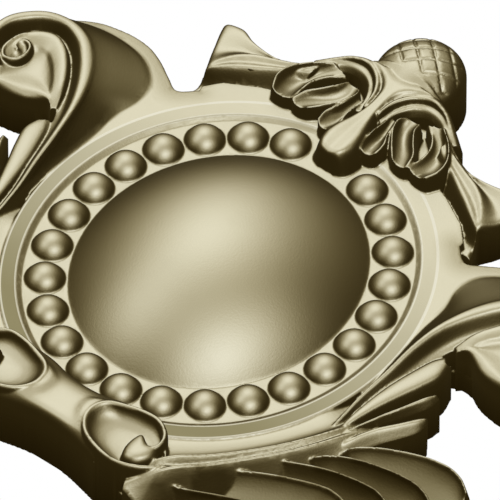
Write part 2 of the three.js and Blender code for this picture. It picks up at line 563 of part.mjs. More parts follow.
// A slim groove cut along the nut's face: a wedge that follows the slope of the acorn.
function latticeGroove(lean, offset) {
  const width = 1.6;
  const depth = 1.2;
  const middle = EDGE_Z + ACORN_UP;
  const line = [];
  for (let k = 0; k <= STEPS.groove; k++) {
    const along = -1 + (2 * k) / STEPS.groove;
    const x = lean * along * 15 + offset;
    const z = along * 13 + 6;
    const fall = 1 - (x / ACORN_HALF_WIDTH) ** 2 - (z / ACORN_HALF_HEIGHT) ** 2;
    if (fall > 0.02) line.push([x, middle + z, PLATE + ACORN_RISE * Math.sqrt(fall)]);
  }
  const faces = [];
  const across = new THREE.Vector2(13, -15 * lean).normalize().multiplyScalar(width / 2);
  const section = ([x, z, height]) => [
    raised(x, z, height - depth),
    raised(x + across.x, z + across.y, height + depth),
    raised(x - across.x, z - across.y, height + depth),
  ];
  const cuts = line.map(section);
  for (let i = 0; i + 1 < cuts.length; i++) {
    for (let s = 0; s < 3; s++) {
      const n = (s + 1) % 3;
      faces.push([cuts[i][s], cuts[i + 1][s], cuts[i + 1][n]], [cuts[i][s], cuts[i + 1][n], cuts[i][n]]);
    }
  }
  const [first, last] = [cuts[0], cuts[cuts.length - 1]];
  faces.push([first[0], first[1], first[2]], [last[0], last[2], last[1]]);
  return closedSolid(faces);
}

const COLLAR_HALF_RAILS = [
  [[0, 28, 12], [12, 29.5, 11.4], [20, 31, 9]],
  [[0, 33.4, 13.6], [12, 33.6, 12.6], [21.4, 33.6, 9]],
  [[0, 36.6, 15.4], [12, 36.6, 14], [21.8, 36, 8]],
];

function collar() {
  const rails = COLLAR_HALF_RAILS.map((rail) => [
    ...rail.slice(1).map(([x, z, rise]) => [-x, z, rise]).reverse(),
    ...rail,
  ]);
  return loft(anchored(0, EDGE_Z, 1)(rails), STEPS.collar);
}

// The body behind the carvings

// Smooth outlines are worked out from a few points.
const smooth = (points, steps) =>
  new THREE.SplineCurve(points.map(([x, z]) => new THREE.Vector2(x, z)))
    .getPoints(steps)
    .map((p) => [p.x, p.y]);

// The plain plate between the ring, the bow and the volute. Inwards it ends under the ring's band.
function shoulder(side) {
  const edge = smooth([[-23.5, -27.6], [-14.5, -34.6], [-6.5, -30.6], [3.5, -24.6], [13.5, -20.6], [24.5, -19.6],
    [33.5, -20.6], [43.5, -23.1], [54, -29]], 14).map(([out, up]) => [EDGE_X + out, EDGE_Z + up]);
  const underVolute = [[40, -45], [0, -60]].map(([out, up]) => [EDGE_X + out, EDGE_Z + up]);
  const underBand = [90, 110, 130, 150, 165, 180].map((turn) => {
    const p = ringPoint(THREE.MathUtils.degToRad(turn), BAND_OUT - BAND_SHOULDER - BAND_WIDTH / 2);
    return [p.x, p.y];
  });
  const underBow = [[0, 3], [20, 4], [40, 0], [60, -8], [76, -17], [84, -25]].map(([x, up]) => [x, EDGE_Z + up]);
  const outline = [...underBow, ...edge, ...underVolute, ...underBand];
  return slab(outline.map(([x, z]) => [side * x, z]), PLATE);
}

// The web behind the volute, the flutes and the leaves, at its lower level.
function sideWeb(side) {
  const outline = [[-30, 40], [0, 60], [50, 60], [62, 45], [55, 28], [38, 27.5], [28, 29], [22.5, 26], [24.5, 16],
    [25, 10], [29.5, 4], [32, -4], [35.5, -12], [36, -20], [33, -30], [42, -37], [60, -33], [76, -36], [80, -48],
    [72, -62], [66, -82], [56, -92], [51, -106], [40, -116], [32, -128], [14, -134], [-10, -139], [-44, -143],
    [-60, -110]];
  return slab(outline.map(([out, up]) => [side * (EDGE_X + out), up]), WEB);
}

// The plate behind the bow.
function crownWeb() {
  const outline = [[-80, -30], [-80, -8], [-60, 0], [-30, 20], [-18, 26], [18, 26], [30, 20], [60, 0], [80, -8],
    [80, -30]];
  return slab(outline.map(([x, up]) => [x, EDGE_Z + up]), PLATE - 4);
}

// The block behind the bottom scrolls, whose lower edge is a shallow arch.
function bottomWeb() {
  const lower = smooth([[-70, -29], [-45, -28], [-28, -25], [-9, -21.3], [0, -20.8], [9, -21.3], [28, -25], [45, -28],
    [70, -29]], 16);
  const outline = [[-70, 10], ...lower, [70, 10]];
  return slab(outline.map(([x, up]) => [x, -EDGE_Z + up]), PLATE - 6);
}

// The whole cartouche, one solid

const body = joined([
  ringAndBoss(),
  ...pearlAngles().map(pearl),
  ...sides.flatMap((side) => [
    shoulder(side),
    sideWeb(side),
    volute(side),
    ...FLUTES.map((rails) => loft(anchored(EDGE_X, 0, side)(rails), STEPS.flute)),
    ...LOBES.map((form) => lobe(form, side)),
    stem(side),
    scroll(side),
    bow(side),
  ]),
  crownWeb(),
  bottomWeb(),
  bottomRoll(),
  tongue(),
  acorn(),
  collar(),
]);
const grooves = [-11, 0, 11].flatMap((offset) => [latticeGroove(1, offset), latticeGroove(-1, offset)]);
const carved = grooves.reduce((solid, groove) => solid.subtract(groove), body);

// A manifold solid as a three.js geometry.
function geometryOf(solid) {
  const mesh = solid.getMesh();
  const corners = new Float32Array(mesh.numVert * 3);
  for (let i = 0; i < mesh.numVert; i++) {
    const start = i * mesh.numProp;
    corners.set(mesh.vertProperties.subarray(start, start + 3), i * 3);
  }
  const geometry = new THREE.BufferGeometry();
  geometry.setAttribute("position", new THREE.BufferAttribute(corners, 3));
  geometry.setIndex(new THREE.BufferAttribute(mesh.triVerts, 1));
  geometry.computeVertexNormals();
  return geometry;
}

const bronze = new THREE.MeshStandardMaterial({ color: 0xb9ab86, roughness: 0.32, metalness: 0.9 });
const cartouche = new THREE.Mesh(geometryOf(carved), bronze);
cartouche.name = "cartouche";

const group = new THREE.Group();
group.add(cartouche);

export default group;
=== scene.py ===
"""A cast wall cartouche in pale bronze: the visual model, its finish, its light and its camera.

The cartouche is one casting. It is built here from closed blocks, one for each carving, which all stand
on the flat back. The blocks are fused into one surface, the sharp edges are eased, the finest grooves
are cut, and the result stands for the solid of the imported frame. The blocks are worked out in
millimetres; the finished mesh, its finish and the studio are in metres.
"""
import logging
import math
from dataclasses import dataclass, field
from enum import Enum, IntEnum

import bpy
import numpy as np
from mathutils import Matrix, Vector
from mathutils.geometry import tessellate_polygon


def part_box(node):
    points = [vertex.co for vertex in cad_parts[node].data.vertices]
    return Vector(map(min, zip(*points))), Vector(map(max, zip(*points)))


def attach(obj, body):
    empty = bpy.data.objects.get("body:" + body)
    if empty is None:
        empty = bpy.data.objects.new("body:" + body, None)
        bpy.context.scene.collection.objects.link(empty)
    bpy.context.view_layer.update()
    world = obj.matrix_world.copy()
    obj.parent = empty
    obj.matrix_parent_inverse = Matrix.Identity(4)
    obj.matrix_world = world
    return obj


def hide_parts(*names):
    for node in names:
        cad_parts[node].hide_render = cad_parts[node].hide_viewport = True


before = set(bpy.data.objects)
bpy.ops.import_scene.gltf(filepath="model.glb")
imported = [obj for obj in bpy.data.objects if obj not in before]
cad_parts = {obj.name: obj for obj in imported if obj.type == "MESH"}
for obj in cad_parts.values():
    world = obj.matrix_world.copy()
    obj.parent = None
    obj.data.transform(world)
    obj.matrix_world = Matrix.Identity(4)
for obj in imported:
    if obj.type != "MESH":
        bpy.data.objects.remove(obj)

log = logging.getLogger("cartouche")

Rail = tuple[tuple[float, float, float], ...]
Rails = tuple[Rail, ...]
Outline = tuple[tuple[float, float], ...]
Colour = tuple[float, float, float, float]
Anchor = tuple[float, float, int]

MM = 0.001
BODY = "root"
NODE = "cartouche"

# Height of the flat parts of the face above the flat back, in millimetres.
PLATE = 24.0


class Side(IntEnum):
    """The two halves of the cartouche, which mirror each other."""

    RIGHT = 1
    LEFT = -1


@dataclass
class Block:
    """A closed block: its corners in millimetres and its triangles."""

    corners: np.ndarray
    triangles: np.ndarray


def split(quads: np.ndarray) -> np.ndarray:
    """Cut each four-sided face into two triangles."""
    return np.concatenate([quads[:, [0, 1, 2]], quads[:, [0, 2, 3]]])


def block_over(grid: np.ndarray, wrapped: bool = False) -> Block:
    """Make the block between a carved face and the flat back.

    Args:
        grid: the face as rows of points, of shape (rows, columns, 3).
        wrapped: whether each row closes on itself, as a ring round a middle.

    Returns:
        The closed block.
    """
    rows, columns, _ = grid.shape
    top = grid.reshape(-1, 3)
    back = top.copy()
    back[:, 1] = 0
    index = np.arange(rows * columns).reshape(rows, columns)
    if wrapped:
        index = np.concatenate([index, index[:, :1]], axis=1)
        rim = index[0]
    else:
        rim = np.concatenate([index[0], index[1:, -1], index[-1, -2::-1], index[-2::-1, 0]])
    quads = np.stack([index[:-1, :-1], index[1:, :-1], index[1:, 1:], index[:-1, 1:]], axis=-1).reshape(-1, 4)
    under = rows * columns
    walls = np.stack([rim[:-1], rim[1:], rim[1:] + under, rim[:-1] + under], axis=-1)
    faces = np.concatenate([quads, quads[:, ::-1] + under, walls])
    return Block(np.concatenate([top, back]), split(faces))


def slab(outline: list[tuple[float, float]], height: float) -> Block:
    """Make a plain block over an outline.

    Args:
        outline: its corners in the plan, as (x, z).
        height: its thickness above the back.

    Returns:
        The closed block.
    """
    count = len(outline)
    top = np.array([(x, -height, z) for x, z in outline])
    back = np.array([(x, 0.0, z) for x, z in outline])
    flat = [Vector((x, z, 0)) for x, z in outline]
    faces = np.array(tessellate_polygon([flat]))
    here = np.arange(count)
    after = (here + 1) % count
    walls = split(np.stack([here, after, after + count, here + count], axis=-1))
    return Block(np.concatenate([top, back]), np.concatenate([faces, faces[:, ::-1] + count, walls]))


def spline(points: np.ndarray, steps: int) -> np.ndarray:
    """Run a centripetal spline through points, or through whole rows of points at once.

    Args:
        points: the points or rows, along the first axis, with x, y, z along the last.
        steps: how many steps to divide the whole run into.

    Returns:
        The steps + 1 points or rows along the spline.
    """
    count = len(points)
    padded = np.concatenate([[2 * points[0] - points[1]], points, [2 * points[-1] - points[-2]]])
    place = np.linspace(0, count - 1, steps + 1)
    first = np.minimum(place.astype(int), count - 2)
    before, start, end, after = (padded[first + shift] for shift in range(4))
    shortest = 1e-3

    def knot(a: np.ndarray, b: np.ndarray) -> np.ndarray:
        """Measure the parameter step between two points."""
        return np.maximum(np.sqrt(np.linalg.norm(b - a, axis=-1, keepdims=True)), shortest)

    k0, k1, k2 = knot(before, start), knot(start, end), knot(end, after)
    leave = ((start - before) / k0 - (end - before) / (k0 + k1) + (end - start) / k1) * k1
    arrive = ((end - start) / k1 - (after - start) / (k1 + k2) + (after - end) / k2) * k1
    share = (place - first).reshape(-1, *[1] * (points.ndim - 1))
    square = 3 * (end - start) - 2 * leave - arrive
    cube = 2 * (start - end) + leave + arrive
    return start + share * (leave + share * (square + share * cube))


def loft(rails: np.ndarray, along: int, across: int) -> Block:
    """Loft a block over rails that run side by side along a carving, rounded across the rails.

    Args:
        rails: the rails, of shape (rails, points, 3).
        along: steps along each rail.
        across: steps across all the rails.

    Returns:
        The closed block.
    """
    runs = spline(np.swapaxes(rails, 0, 1), along)
    return block_over(spline(np.swapaxes(runs, 0, 1), across))


def points_of(rails: Rails | Rail | list[np.ndarray]) -> np.ndarray:
    """Turn written points into numbers to reckon with."""
    return np.array(rails, dtype=float)


def anchored(rails: Rails | list[np.ndarray], out: float, up: float, side: int = Side.RIGHT) -> np.ndarray:
    """Place rails that are written as (out, up, rise above the plate) from an anchor.

    Args:
        rails: the rails, all with the same number of points.
        out: distance of the anchor from the middle line.
        up: height of the anchor above the middle.
        side: the half that they belong to.

    Returns:
        The points in millimetres, of shape (rails, points, 3).
    """
    points = points_of(rails)
    return np.stack([side * (out + points[..., 0]), -(PLATE + points[..., 2]), up + points[..., 1]], axis=-1)


def mirrored(rails: Rails) -> Rails:
    """Extend rails that start on the middle line to both sides of it."""
    return tuple(tuple((-x, z, rise) for x, z, rise in rail[:0:-1]) + rail for rail in rails)


def smooth_line(points: Outline, steps: int) -> list[tuple[float, float]]:
    """Work out a smooth line through a few points of the plan."""
    flat = np.array([(x, 0.0, z) for x, z in points])
    return [(float(x), float(z)) for x, _, z in spline(flat, steps)]


def oval(at: tuple[float, float], half: tuple[float, float], level: float, steps: int) -> np.ndarray:
    """Make one turn of points round an upright oval.

    Args:
        at: its middle, as (x, z).
        half: half its width and half its height; a width below zero turns the other way round.
        level: its height above the back.
        steps: how many points to make.

    Returns:
        The points, of shape (steps, 3).
    """
    turn = np.linspace(0, math.tau, steps, endpoint=False)
    x = at[0] + half[0] * np.cos(turn)
    z = at[1] + half[1] * np.sin(turn)
    return np.stack([x, np.full(steps, -level), z], axis=-1)


def led_in(rails: Rails | list[np.ndarray], lead: float) -> np.ndarray:
    """Carry rails back from their first points, sinking, so that a form grows out of what it springs from.

    Args:
        rails: the rails, as (out, up, rise).
        lead: how far to carry them back; they sink as much.

    Returns:
        The longer rails.
    """
    points = points_of(rails)
    back = points[:, 0] - points[:, 1]
    back[:, 2] = 0
    back /= np.linalg.norm(back, axis=1, keepdims=True)
    start = points[:, 0] + back * lead
    start[:, 2] -= lead
    return np.concatenate([start[:, None], points], axis=1)


def bead(line: Rail, anchor: Anchor, half_width: float, drop: float, steps: int) -> Block:
    """Make a rounded ridge along a line.

    Args:
        line: the top of the ridge, as (out, up, rise above the plate) from the anchor.
        anchor: what anchored takes: the distance out, the height and the side.
        half_width: half the ridge's width.
        drop: how far its edges lie below its top.
        steps: steps along the line.

    Returns:
        The closed block.
    """
    rows = 9
    top = spline(points_of(line), steps)
    along = np.gradient(top[:, :2], axis=0)
    along /= np.linalg.norm(along, axis=1, keepdims=True)
    across = np.column_stack([-along[:, 1], along[:, 0]])
    rails = []
    for turn in np.linspace(-math.pi / 2, math.pi / 2, rows):
        rail = top.copy()
        rail[:, :2] += across * half_width * math.sin(turn)
        rail[:, 2] -= drop * (1 - math.cos(turn))
        rails.append(rail)
    return block_over(anchored(rails, *anchor))


def dish(rim: Rail, middle: tuple[float, float], profile: Outline, anchor: Anchor) -> Block:
    """Make a dish or a mound inside a closed rim.

    Args:
        rim: the rim, all the way round, as (out, up, rise).
        middle: the middle of the dish, as (out, up).
        profile: shares of the way out to the rim, with the rise over the rim there.
        anchor: what anchored takes: the distance out, the height and the side.

    Returns:
        The closed block.
    """
    steps = 10
    wrap = 3
    profile_steps = 40
    points = points_of(rim)
    closed = np.concatenate([points[-wrap:], points, points[:wrap]])
    line = spline(closed, steps * (len(closed) - 1))[wrap * steps:(wrap + len(points)) * steps]
    centre = np.array((*middle, line[:, 2].mean()))
    rings = [centre + (line - centre) * (share, share, min(share, 1.0)) + (0, 0, rise)
             for share, rise in smooth_line(profile, profile_steps)]
    return block_over(anchored(rings, *anchor), wrapped=True)


@dataclass
class OvalRing:
    """The plain oval boss, the channel of pearls round it and the flat band outside them."""

    half_width: float = 83.4
    half_height: float = 92.5
    pearl_count: int = 24
    pearl_gap: float = 50.0
    pearl_radius: float = 11.0
    pearl_sink: float = 3.6
    pearl_skirt: float = 1.0
    channel_half_width: float = 11.5
    channel_depth: float = 2.0
    bevel_width: float = 3.0
    band_width: float = 8.2
    band_shoulder: float = 1.0
    boss_rise: float = 34.0
    boss_edge_angle: float = math.radians(47)
    sure_share: float = 0.9
    around: int = 360
    rings_on_boss: int = 60
    pearl_steps: int = 40
    pearl_rings: int = 13
    line_points: int = 3601
    edge_points: int = 2881

    @property
    def band_out(self) -> float:
        """Distance from the pearls' line to the band's outer edge."""
        return self.channel_half_width + self.bevel_width + self.band_width + self.band_shoulder

    @property
    def edge_x(self) -> float:
        """Half the width over the band."""
        return self.half_width + self.band_out

    @property
    def edge_z(self) -> float:
        """Half the height over the band."""
        return self.half_height + self.band_out

    @property
    def floor(self) -> float:
        """Height of the channel's floor above the back."""
        return PLATE - self.channel_depth

    def points(self, angles: np.ndarray, outward: float) -> np.ndarray:
        """Find points of the pearls' line, moved outward across it.

        Args:
            angles: turns from the bottom towards +X, in radians.
            outward: how far outside the line, in millimetres.

        Returns:
            The points as (x, z).
        """
        line = np.stack([self.half_width * np.sin(angles), -self.half_height * np.cos(angles)], axis=-1)
        normal = line / np.array([self.half_width, self.half_height]) ** 2
        return line + outward * normal / np.linalg.norm(normal, axis=-1, keepdims=True)

    def row(self, outward: float, height: float) -> np.ndarray:
        """Make one whole turn of points at a height above the back."""
        plan = self.points(np.linspace(0, math.tau, self.around, endpoint=False), outward)
        return np.stack([plan[:, 0], np.full(self.around, -height), plan[:, 1]], axis=-1)

    def boss_height(self, share: np.ndarray) -> np.ndarray:
        """Find the height of the boss over its floor.

        Args:
            share: how far out to its edge, from 0 to 1.

        Returns:
            The height in millimetres.
        """
        sine = math.sin(self.boss_edge_angle)
        cosine = math.cos(self.boss_edge_angle)
        cap = np.sqrt(1 - (np.minimum(share, 1.0) * sine) ** 2) - cosine
        return self.boss_rise * cap / (1 - cosine)

    def pearl_middles(self) -> np.ndarray:
        """Find the pearls' middles at equal distances, with the gap at the top for the tongue.

        Returns:
            The middles, as (x, z).
        """
        turns = np.linspace(math.pi, 3 * math.pi, self.line_points)
        line = self.points(turns, 0)
        run = np.concatenate([[0], np.cumsum(np.linalg.norm(np.diff(line, axis=0), axis=1))])
        goals = np.linspace(self.pearl_gap / 2, run[-1] - self.pearl_gap / 2, self.pearl_count)
        return self.points(np.interp(goals, run, turns), 0)

    def blocks(self) -> list[Block]:
        """Make the ring with its boss, and the pearls.

        Returns:
            The ring first, then one block for each pearl.
        """
        band_in = self.channel_half_width + self.bevel_width
        rows = [
            self.row(self.band_out, PLATE - self.band_shoulder),
            self.row(self.band_out - self.band_shoulder, PLATE),
            self.row(band_in, PLATE),
            self.row(self.channel_half_width, self.floor),
            self.row(-self.channel_half_width, self.floor),
        ]
        edge = rows[-1]
        for share in np.linspace(1, 0, self.rings_on_boss + 1)[1:]:
            ring = edge * share
            ring[:, 1] = -(self.floor + self.boss_height(np.array(share)))
            rows.append(ring)
        pearls = [self.pearl(x, z) for x, z in self.pearl_middles()]
        return [block_over(np.array(rows), wrapped=True), *pearls]

    def pearl(self, x: float, z: float) -> Block:
        """Make one pearl, round down to the channel and upright below it.

        Args:
            x: its middle across.
            z: its middle up.

        Returns:
            The pearl.
        """
        low = math.asin((self.pearl_sink - self.pearl_skirt) / self.pearl_radius)
        rings = []
        for tilt in np.linspace(low, math.pi / 2, self.pearl_rings):
            reach = self.pearl_radius * math.cos(tilt)
            level = self.floor - self.pearl_sink + self.pearl_radius * math.sin(tilt)
            rings.append(oval((x, z), (reach, reach), level, self.pearl_steps))
        return block_over(np.array(rings), wrapped=True)

    def true_heights(self, x: np.ndarray, z: np.ndarray) -> np.ndarray:
        """Find the exact height of boss and pearls over places of the plan.

        Args:
            x: places across.
            z: places up.

        Returns:
            Heights above the back, or zero outside the boss and the pearls.
        """
        turns = np.linspace(0, math.tau, self.edge_points)
        edge = self.points(turns, -self.channel_half_width)
        bearing = np.unwrap(np.arctan2(edge[:, 0], -edge[:, 1]))
        reach = np.interp(np.arctan2(x, -z) % math.tau, bearing, np.linalg.norm(edge, axis=1))
        share = np.hypot(x, z) / reach
        heights = np.where(share < self.sure_share, self.floor + self.boss_height(share), 0)
        for px, pz in self.pearl_middles():
            gap = (x - px) ** 2 + (z - pz) ** 2
            inside = gap < (self.sure_share * self.pearl_radius) ** 2
            rise = np.sqrt(np.maximum(self.pearl_radius ** 2 - gap, 0))
            heights = np.where(inside, np.maximum(heights, self.floor - self.pearl_sink + rise), heights)
        return heights


# The leaf of a volute, from its start at the ring round to its tip: the foot of the wall, the
# crest, the inner edge of the crest and two rails down inside it, as (out, up, rise).
VOLUTE_RAILS: Rails = (
    (
        (1.5, -46, -4), (1.5, -24, -4), (0.8, -6, -3), (-0.5, 12, -2.5), (-2, 34, -2), (-4, 50, -1.5),
        (-7, 64, -1), (-4, 77, -1), (8, 87, -1), (25, 90.5, -1), (45, 89, -1.5), (64, 80, -2.5),
        (77, 65, -3.5), (81, 48, -4.5), (78, 34, -5), (66, 22, -6),
    ),
    (
        (2, -46, 1), (2.6, -24, 5), (4.7, -6, 8.7), (6.3, 12, 12.2), (8.7, 27, 13.8), (12, 39, 14.1),
        (17, 50, 14.4), (24, 60.5, 14.8), (33.5, 69, 15.5), (44.8, 72.6, 16), (57.2, 69.9, 17),
        (66.5, 62.5, 17.5), (72, 53.5, 18), (73.4, 43.5, 17.5), (70, 34.5, 16), (61, 27, 13),
    ),
    (
        (3, -46, 1), (3.8, -24, 5), (6.4, -6, 8.5), (8.4, 12, 12), (11.4, 27, 13.6), (15.5, 38, 14),
        (21.2, 48.5, 14.2), (28, 58, 14.8), (36, 65.5, 15.4), (45.4, 69, 16), (56, 66.4, 17),
        (63.8, 59.6, 17.4), (68.8, 51.6, 17.8), (69.8, 43.6, 17.4), (66.8, 36.6, 16), (59, 30.4, 13),
    ),
    (
        (4.5, -46, -2), (6, -24, 1.5), (9.5, -6, 3.5), (12, 12, 5), (15.5, 26, 5.5), (20, 36.5, 6),
        (25.5, 46, 6), (31.5, 54.5, 6), (38.5, 61.5, 6), (46, 65, 6), (54.8, 62.8, 6.5), (61.5, 57, 7),
        (65.6, 50.2, 7), (66.4, 44, 7), (63.5, 38.8, 7), (57, 33.5, 7),
    ),
    (
        (6, -46, -4), (8, -24, -1), (12, -6, 1.5), (15, 12, 2.5), (19, 25, 3.5), (23.5, 34.5, 4.5),
        (29, 43.5, 5), (34.5, 51, 5), (40.5, 57.5, 5), (46.5, 60.5, 5), (53.5, 58.6, 5.5), (59, 54, 6),
        (62.3, 48.8, 6), (62.8, 44.4, 6), (60.5, 41, 6), (55.5, 36.5, 6),
    ),
)

# The cup inside the volute: its outside, its rim, and the rails across its hollow to the near foot.
CUP_RAILS: Rails = (
    (
        (20.5, 28.6, 3), (25.5, 38, 5.5), (32, 48.5, 5.5), (40, 57.5, 5.5), (48, 62, 5.5), (56.5, 60, 6),
        (62.5, 54, 6.5), (65.5, 44, 6.5), (64, 36, 6.5), (60.5, 29.5, 6),
    ),
    (
        (21.4, 28.3, 5.6), (27.6, 37.4, 9.4), (33.8, 46.6, 10.6), (40.8, 54.4, 11.4), (48, 58.6, 11.8),
        (55, 57, 12), (60.4, 52, 12), (62.6, 44, 12), (61, 36.6, 11), (58.5, 28.8, 9.5),
    ),
    (
        (22.3, 27.7, 6), (28.6, 34.6, 8.2), (34, 41.4, 8), (40, 47.4, 7.6), (45.6, 50.6, 7.4),
        (50.4, 50, 7.6), (54, 46, 8), (55.6, 40, 8.2), (55.8, 33.6, 8.2), (56.8, 27.5, 8.5),
    ),
    (
        (22.8, 27.2, 6), (27.4, 32.2, 7.6), (32, 36, 7), (37, 38.6, 6.2), (42, 39.8, 5.8), (46.4, 39, 5.8),
        (50, 36.4, 6.2), (52, 33, 6.8), (53.6, 29.6, 7.4), (56.2, 26, 8),
    ),
    (
        (22.8, 26.8, 5.8), (25.8, 29.8, 7.4), (29.2, 31.2, 7.6), (33.2, 31, 7.4), (37.4, 29.6, 7.2),
        (41.4, 28.2, 7.2), (45.4, 26.8, 7.4), (49, 25.8, 7.6), (52, 25, 7.8), (56, 24.6, 7.8),
    ),
    (
        (22.7, 26.3, 4), (25, 28.8, 5.6), (27.8, 29.8, 5.8), (31.2, 29.2, 5.4), (35.2, 27.2, 5),
        (39, 25.3, 5), (43.6, 23.8, 5), (47.8, 23, 5), (51.6, 22.5, 5), (56, 22.4, 5),
    ),
    (
        (22.5, 25.8, -2), (25, 28.4, -2), (27.7, 29.4, -2), (31, 28.8, -2), (35, 26.6, -2),
        (38.8, 24.7, -2), (43.4, 23.2, -2), (47.8, 22.4, -2), (51.6, 21.9, -2), (56, 21.8, -2),
    ),
)


@dataclass
class SideVolute:
    """The leaf volute of one side: its outer leaf, the cup inside it and its spiral eye.

    face_shares sets rails between foot and crest, as the share of the way across and of the way up. The
    first points of the foot are moved in under the band. The cup's rim moves out by rim_shifts, point by
    point, and leaves a groove inside the crest.
    """

    ring: OvalRing
    outer: Rails = VOLUTE_RAILS
    cup: Rails = CUP_RAILS
    face_shares: Outline = ((0.25, 0.23), (0.5, 0.47), (0.75, 0.71), (0.9, 0.87))
    curl: Rail = (
        (50, 60, 8), (56.6, 58, 11.4), (61.6, 52.4, 13), (63.6, 45, 13.2), (63.4, 39.4, 13),
        (60.1, 35.6, 12.8), (55, 37.4, 12.6), (52.3, 43.4, 12.6), (53.6, 48.8, 12.8), (57.2, 50.6, 12.8),
        (60.2, 48.4, 12.6), (60, 44.8, 12.4), (57.6, 43.8, 12.2),
    )
    groove_share: float = 0.9
    groove_drop: float = 3.0
    rim_shifts: tuple[float, ...] = (1.0, 1.6, 1.7, 1.6, 1.3, 0.9, 0.6, 0.4, 0.35, 0.35)
    buried: int = 5
    bury: float = 2.5
    rim_width: float = 0.5
    rim_fall: float = 0.35
    curl_half_width: float = 1.5
    curl_drop: float = 4.0
    eye_at: tuple[float, float] = (58.9, 44.1)
    eye_half_width: float = 8.4
    eye_half_height: float = 10.0
    eye_profile: Outline = ((1, 4), (0.9, 6.6), (0.7, 7), (0.45, 8.4), (0.2, 10.6), (0.0, 11.4))
    leaf_steps: tuple[int, int] = (260, 60)
    cup_steps: tuple[int, int] = (110, 56)
    curl_steps: int = 260
    eye_rings: int = 30
    eye_steps: int = 64
    outline_steps: int = 80

    def blocks(self, side: int) -> list[Block]:
        """Make the volute of one side.

        Args:
            side: the half that it belongs to.

        Returns:
            The leaf, its cup, the eye's floor and the curl over it.
        """
        anchor = (self.ring.edge_x, 0.0, side)
        foot, crest, *inside = (points_of(rail) for rail in self.outer)
        foot[:self.buried, 0] -= self.bury
        face = [foot + (crest - foot) * (way, way, fall) for way, fall in self.face_shares]
        outside, rim, *hollow = (points_of(rail) for rail in self.cup)
        apart = outside - rim
        shoulder = rim + (hollow[0] - rim) * (self.rim_width, self.rim_width, self.rim_fall)
        shift = np.array(self.rim_shifts)[:, None]
        crest_shift = apart * (1, 1, 0) * shift
        wall = outside + crest_shift * self.groove_share - (0, 0, self.groove_drop)
        cup = [wall, rim + crest_shift, shoulder, *hollow]
        return [
            loft(anchored([foot, *face, crest, *inside], *anchor), *self.leaf_steps),
            loft(anchored(cup, *anchor), *self.cup_steps),
            self.eye(side),
            bead(self.curl, anchor, self.curl_half_width, self.curl_drop, self.curl_steps),
        ]

    def face_outline(self) -> np.ndarray:
        """Find the outline of the leaf's face on the right half, as (x, z)."""
        foot, crest = (spline(points_of(rail), self.outline_steps)[:, :2] for rail in self.outer[:2])
        return np.concatenate([foot, crest[::-1]]) + (self.ring.edge_x, 0)

    def eye(self, side: int) -> Block:
        """Make the floor of the eye, which the curl winds over.

        Args:
            side: the half that it belongs to.

        Returns:
            The floor, a low mound.
        """
        middle = (side * (self.ring.edge_x + self.eye_at[0]), self.eye_at[1])
        rings = []
        for share, rise in smooth_line(self.eye_profile, self.eye_rings):
            half = (side * share * self.eye_half_width, share * self.eye_half_height)
            rings.append(oval(middle, half, PLATE + rise, self.eye_steps))
        return block_over(np.array(rings), wrapped=True)


# The three flutes under a volute, each from one foot over its crest to the other foot.
FLUTES: tuple[Rails, ...] = (
    (
        ((5.5, -44, -2), (6.5, -25, 0.5), (9, -8, 1.5), (12.5, 6, 2.5), (16, 17, 3), (19.5, 22.8, 3)),
        (
            (6.4, -44.5, 2), (8.2, -25.5, 4.5), (11, -8.5, 5), (14.5, 5, 5.2), (18, 15.5, 5.2),
            (21, 20.8, 4.6),
        ),
        (
            (8, -45, 2), (12.8, -27.5, 4.5), (18, -12, 5), (22.3, 0, 5.2), (25, 10.5, 5.2),
            (23.6, 18.6, 4.6),
        ),
        (
            (9.2, -46, -3), (14.2, -28.3, 0), (19.6, -12.8, 1), (24.1, -0.8, 1.5), (27, 11, 2),
            (24.6, 21, 2),
        ),
    ),
    (
        ((8.5, -48, -3), (16, -28.5, -1), (21.5, -16, 0), (26, -5, 0.5), (29.8, 1.8, 0.5)),
        ((9.8, -48, 2), (18.5, -28, 4), (25, -15, 4.6), (29.5, -5, 4.6), (31.6, 0.4, 3.2)),
        ((11.2, -48, -3), (20.8, -28, -1.5), (27.6, -15.5, -1), (32.6, -5.5, 0), (33.4, 1, 0.5)),
    ),
    (
        ((11, -52, -3), (17.5, -36, -2), (25.5, -24, -1.5), (32.6, -14, -1), (35.6, -11.8, -1)),
        ((14, -53, 2), (21.5, -37, 3.5), (29, -26.5, 3.5), (34.6, -18, 3), (36.6, -14.4, 2)),
        ((19, -54, -4), (26.5, -39, -2.5), (32.8, -29.5, -2), (37.3, -21.5, -1.5), (38.2, -15.4, -1)),
    ),
)

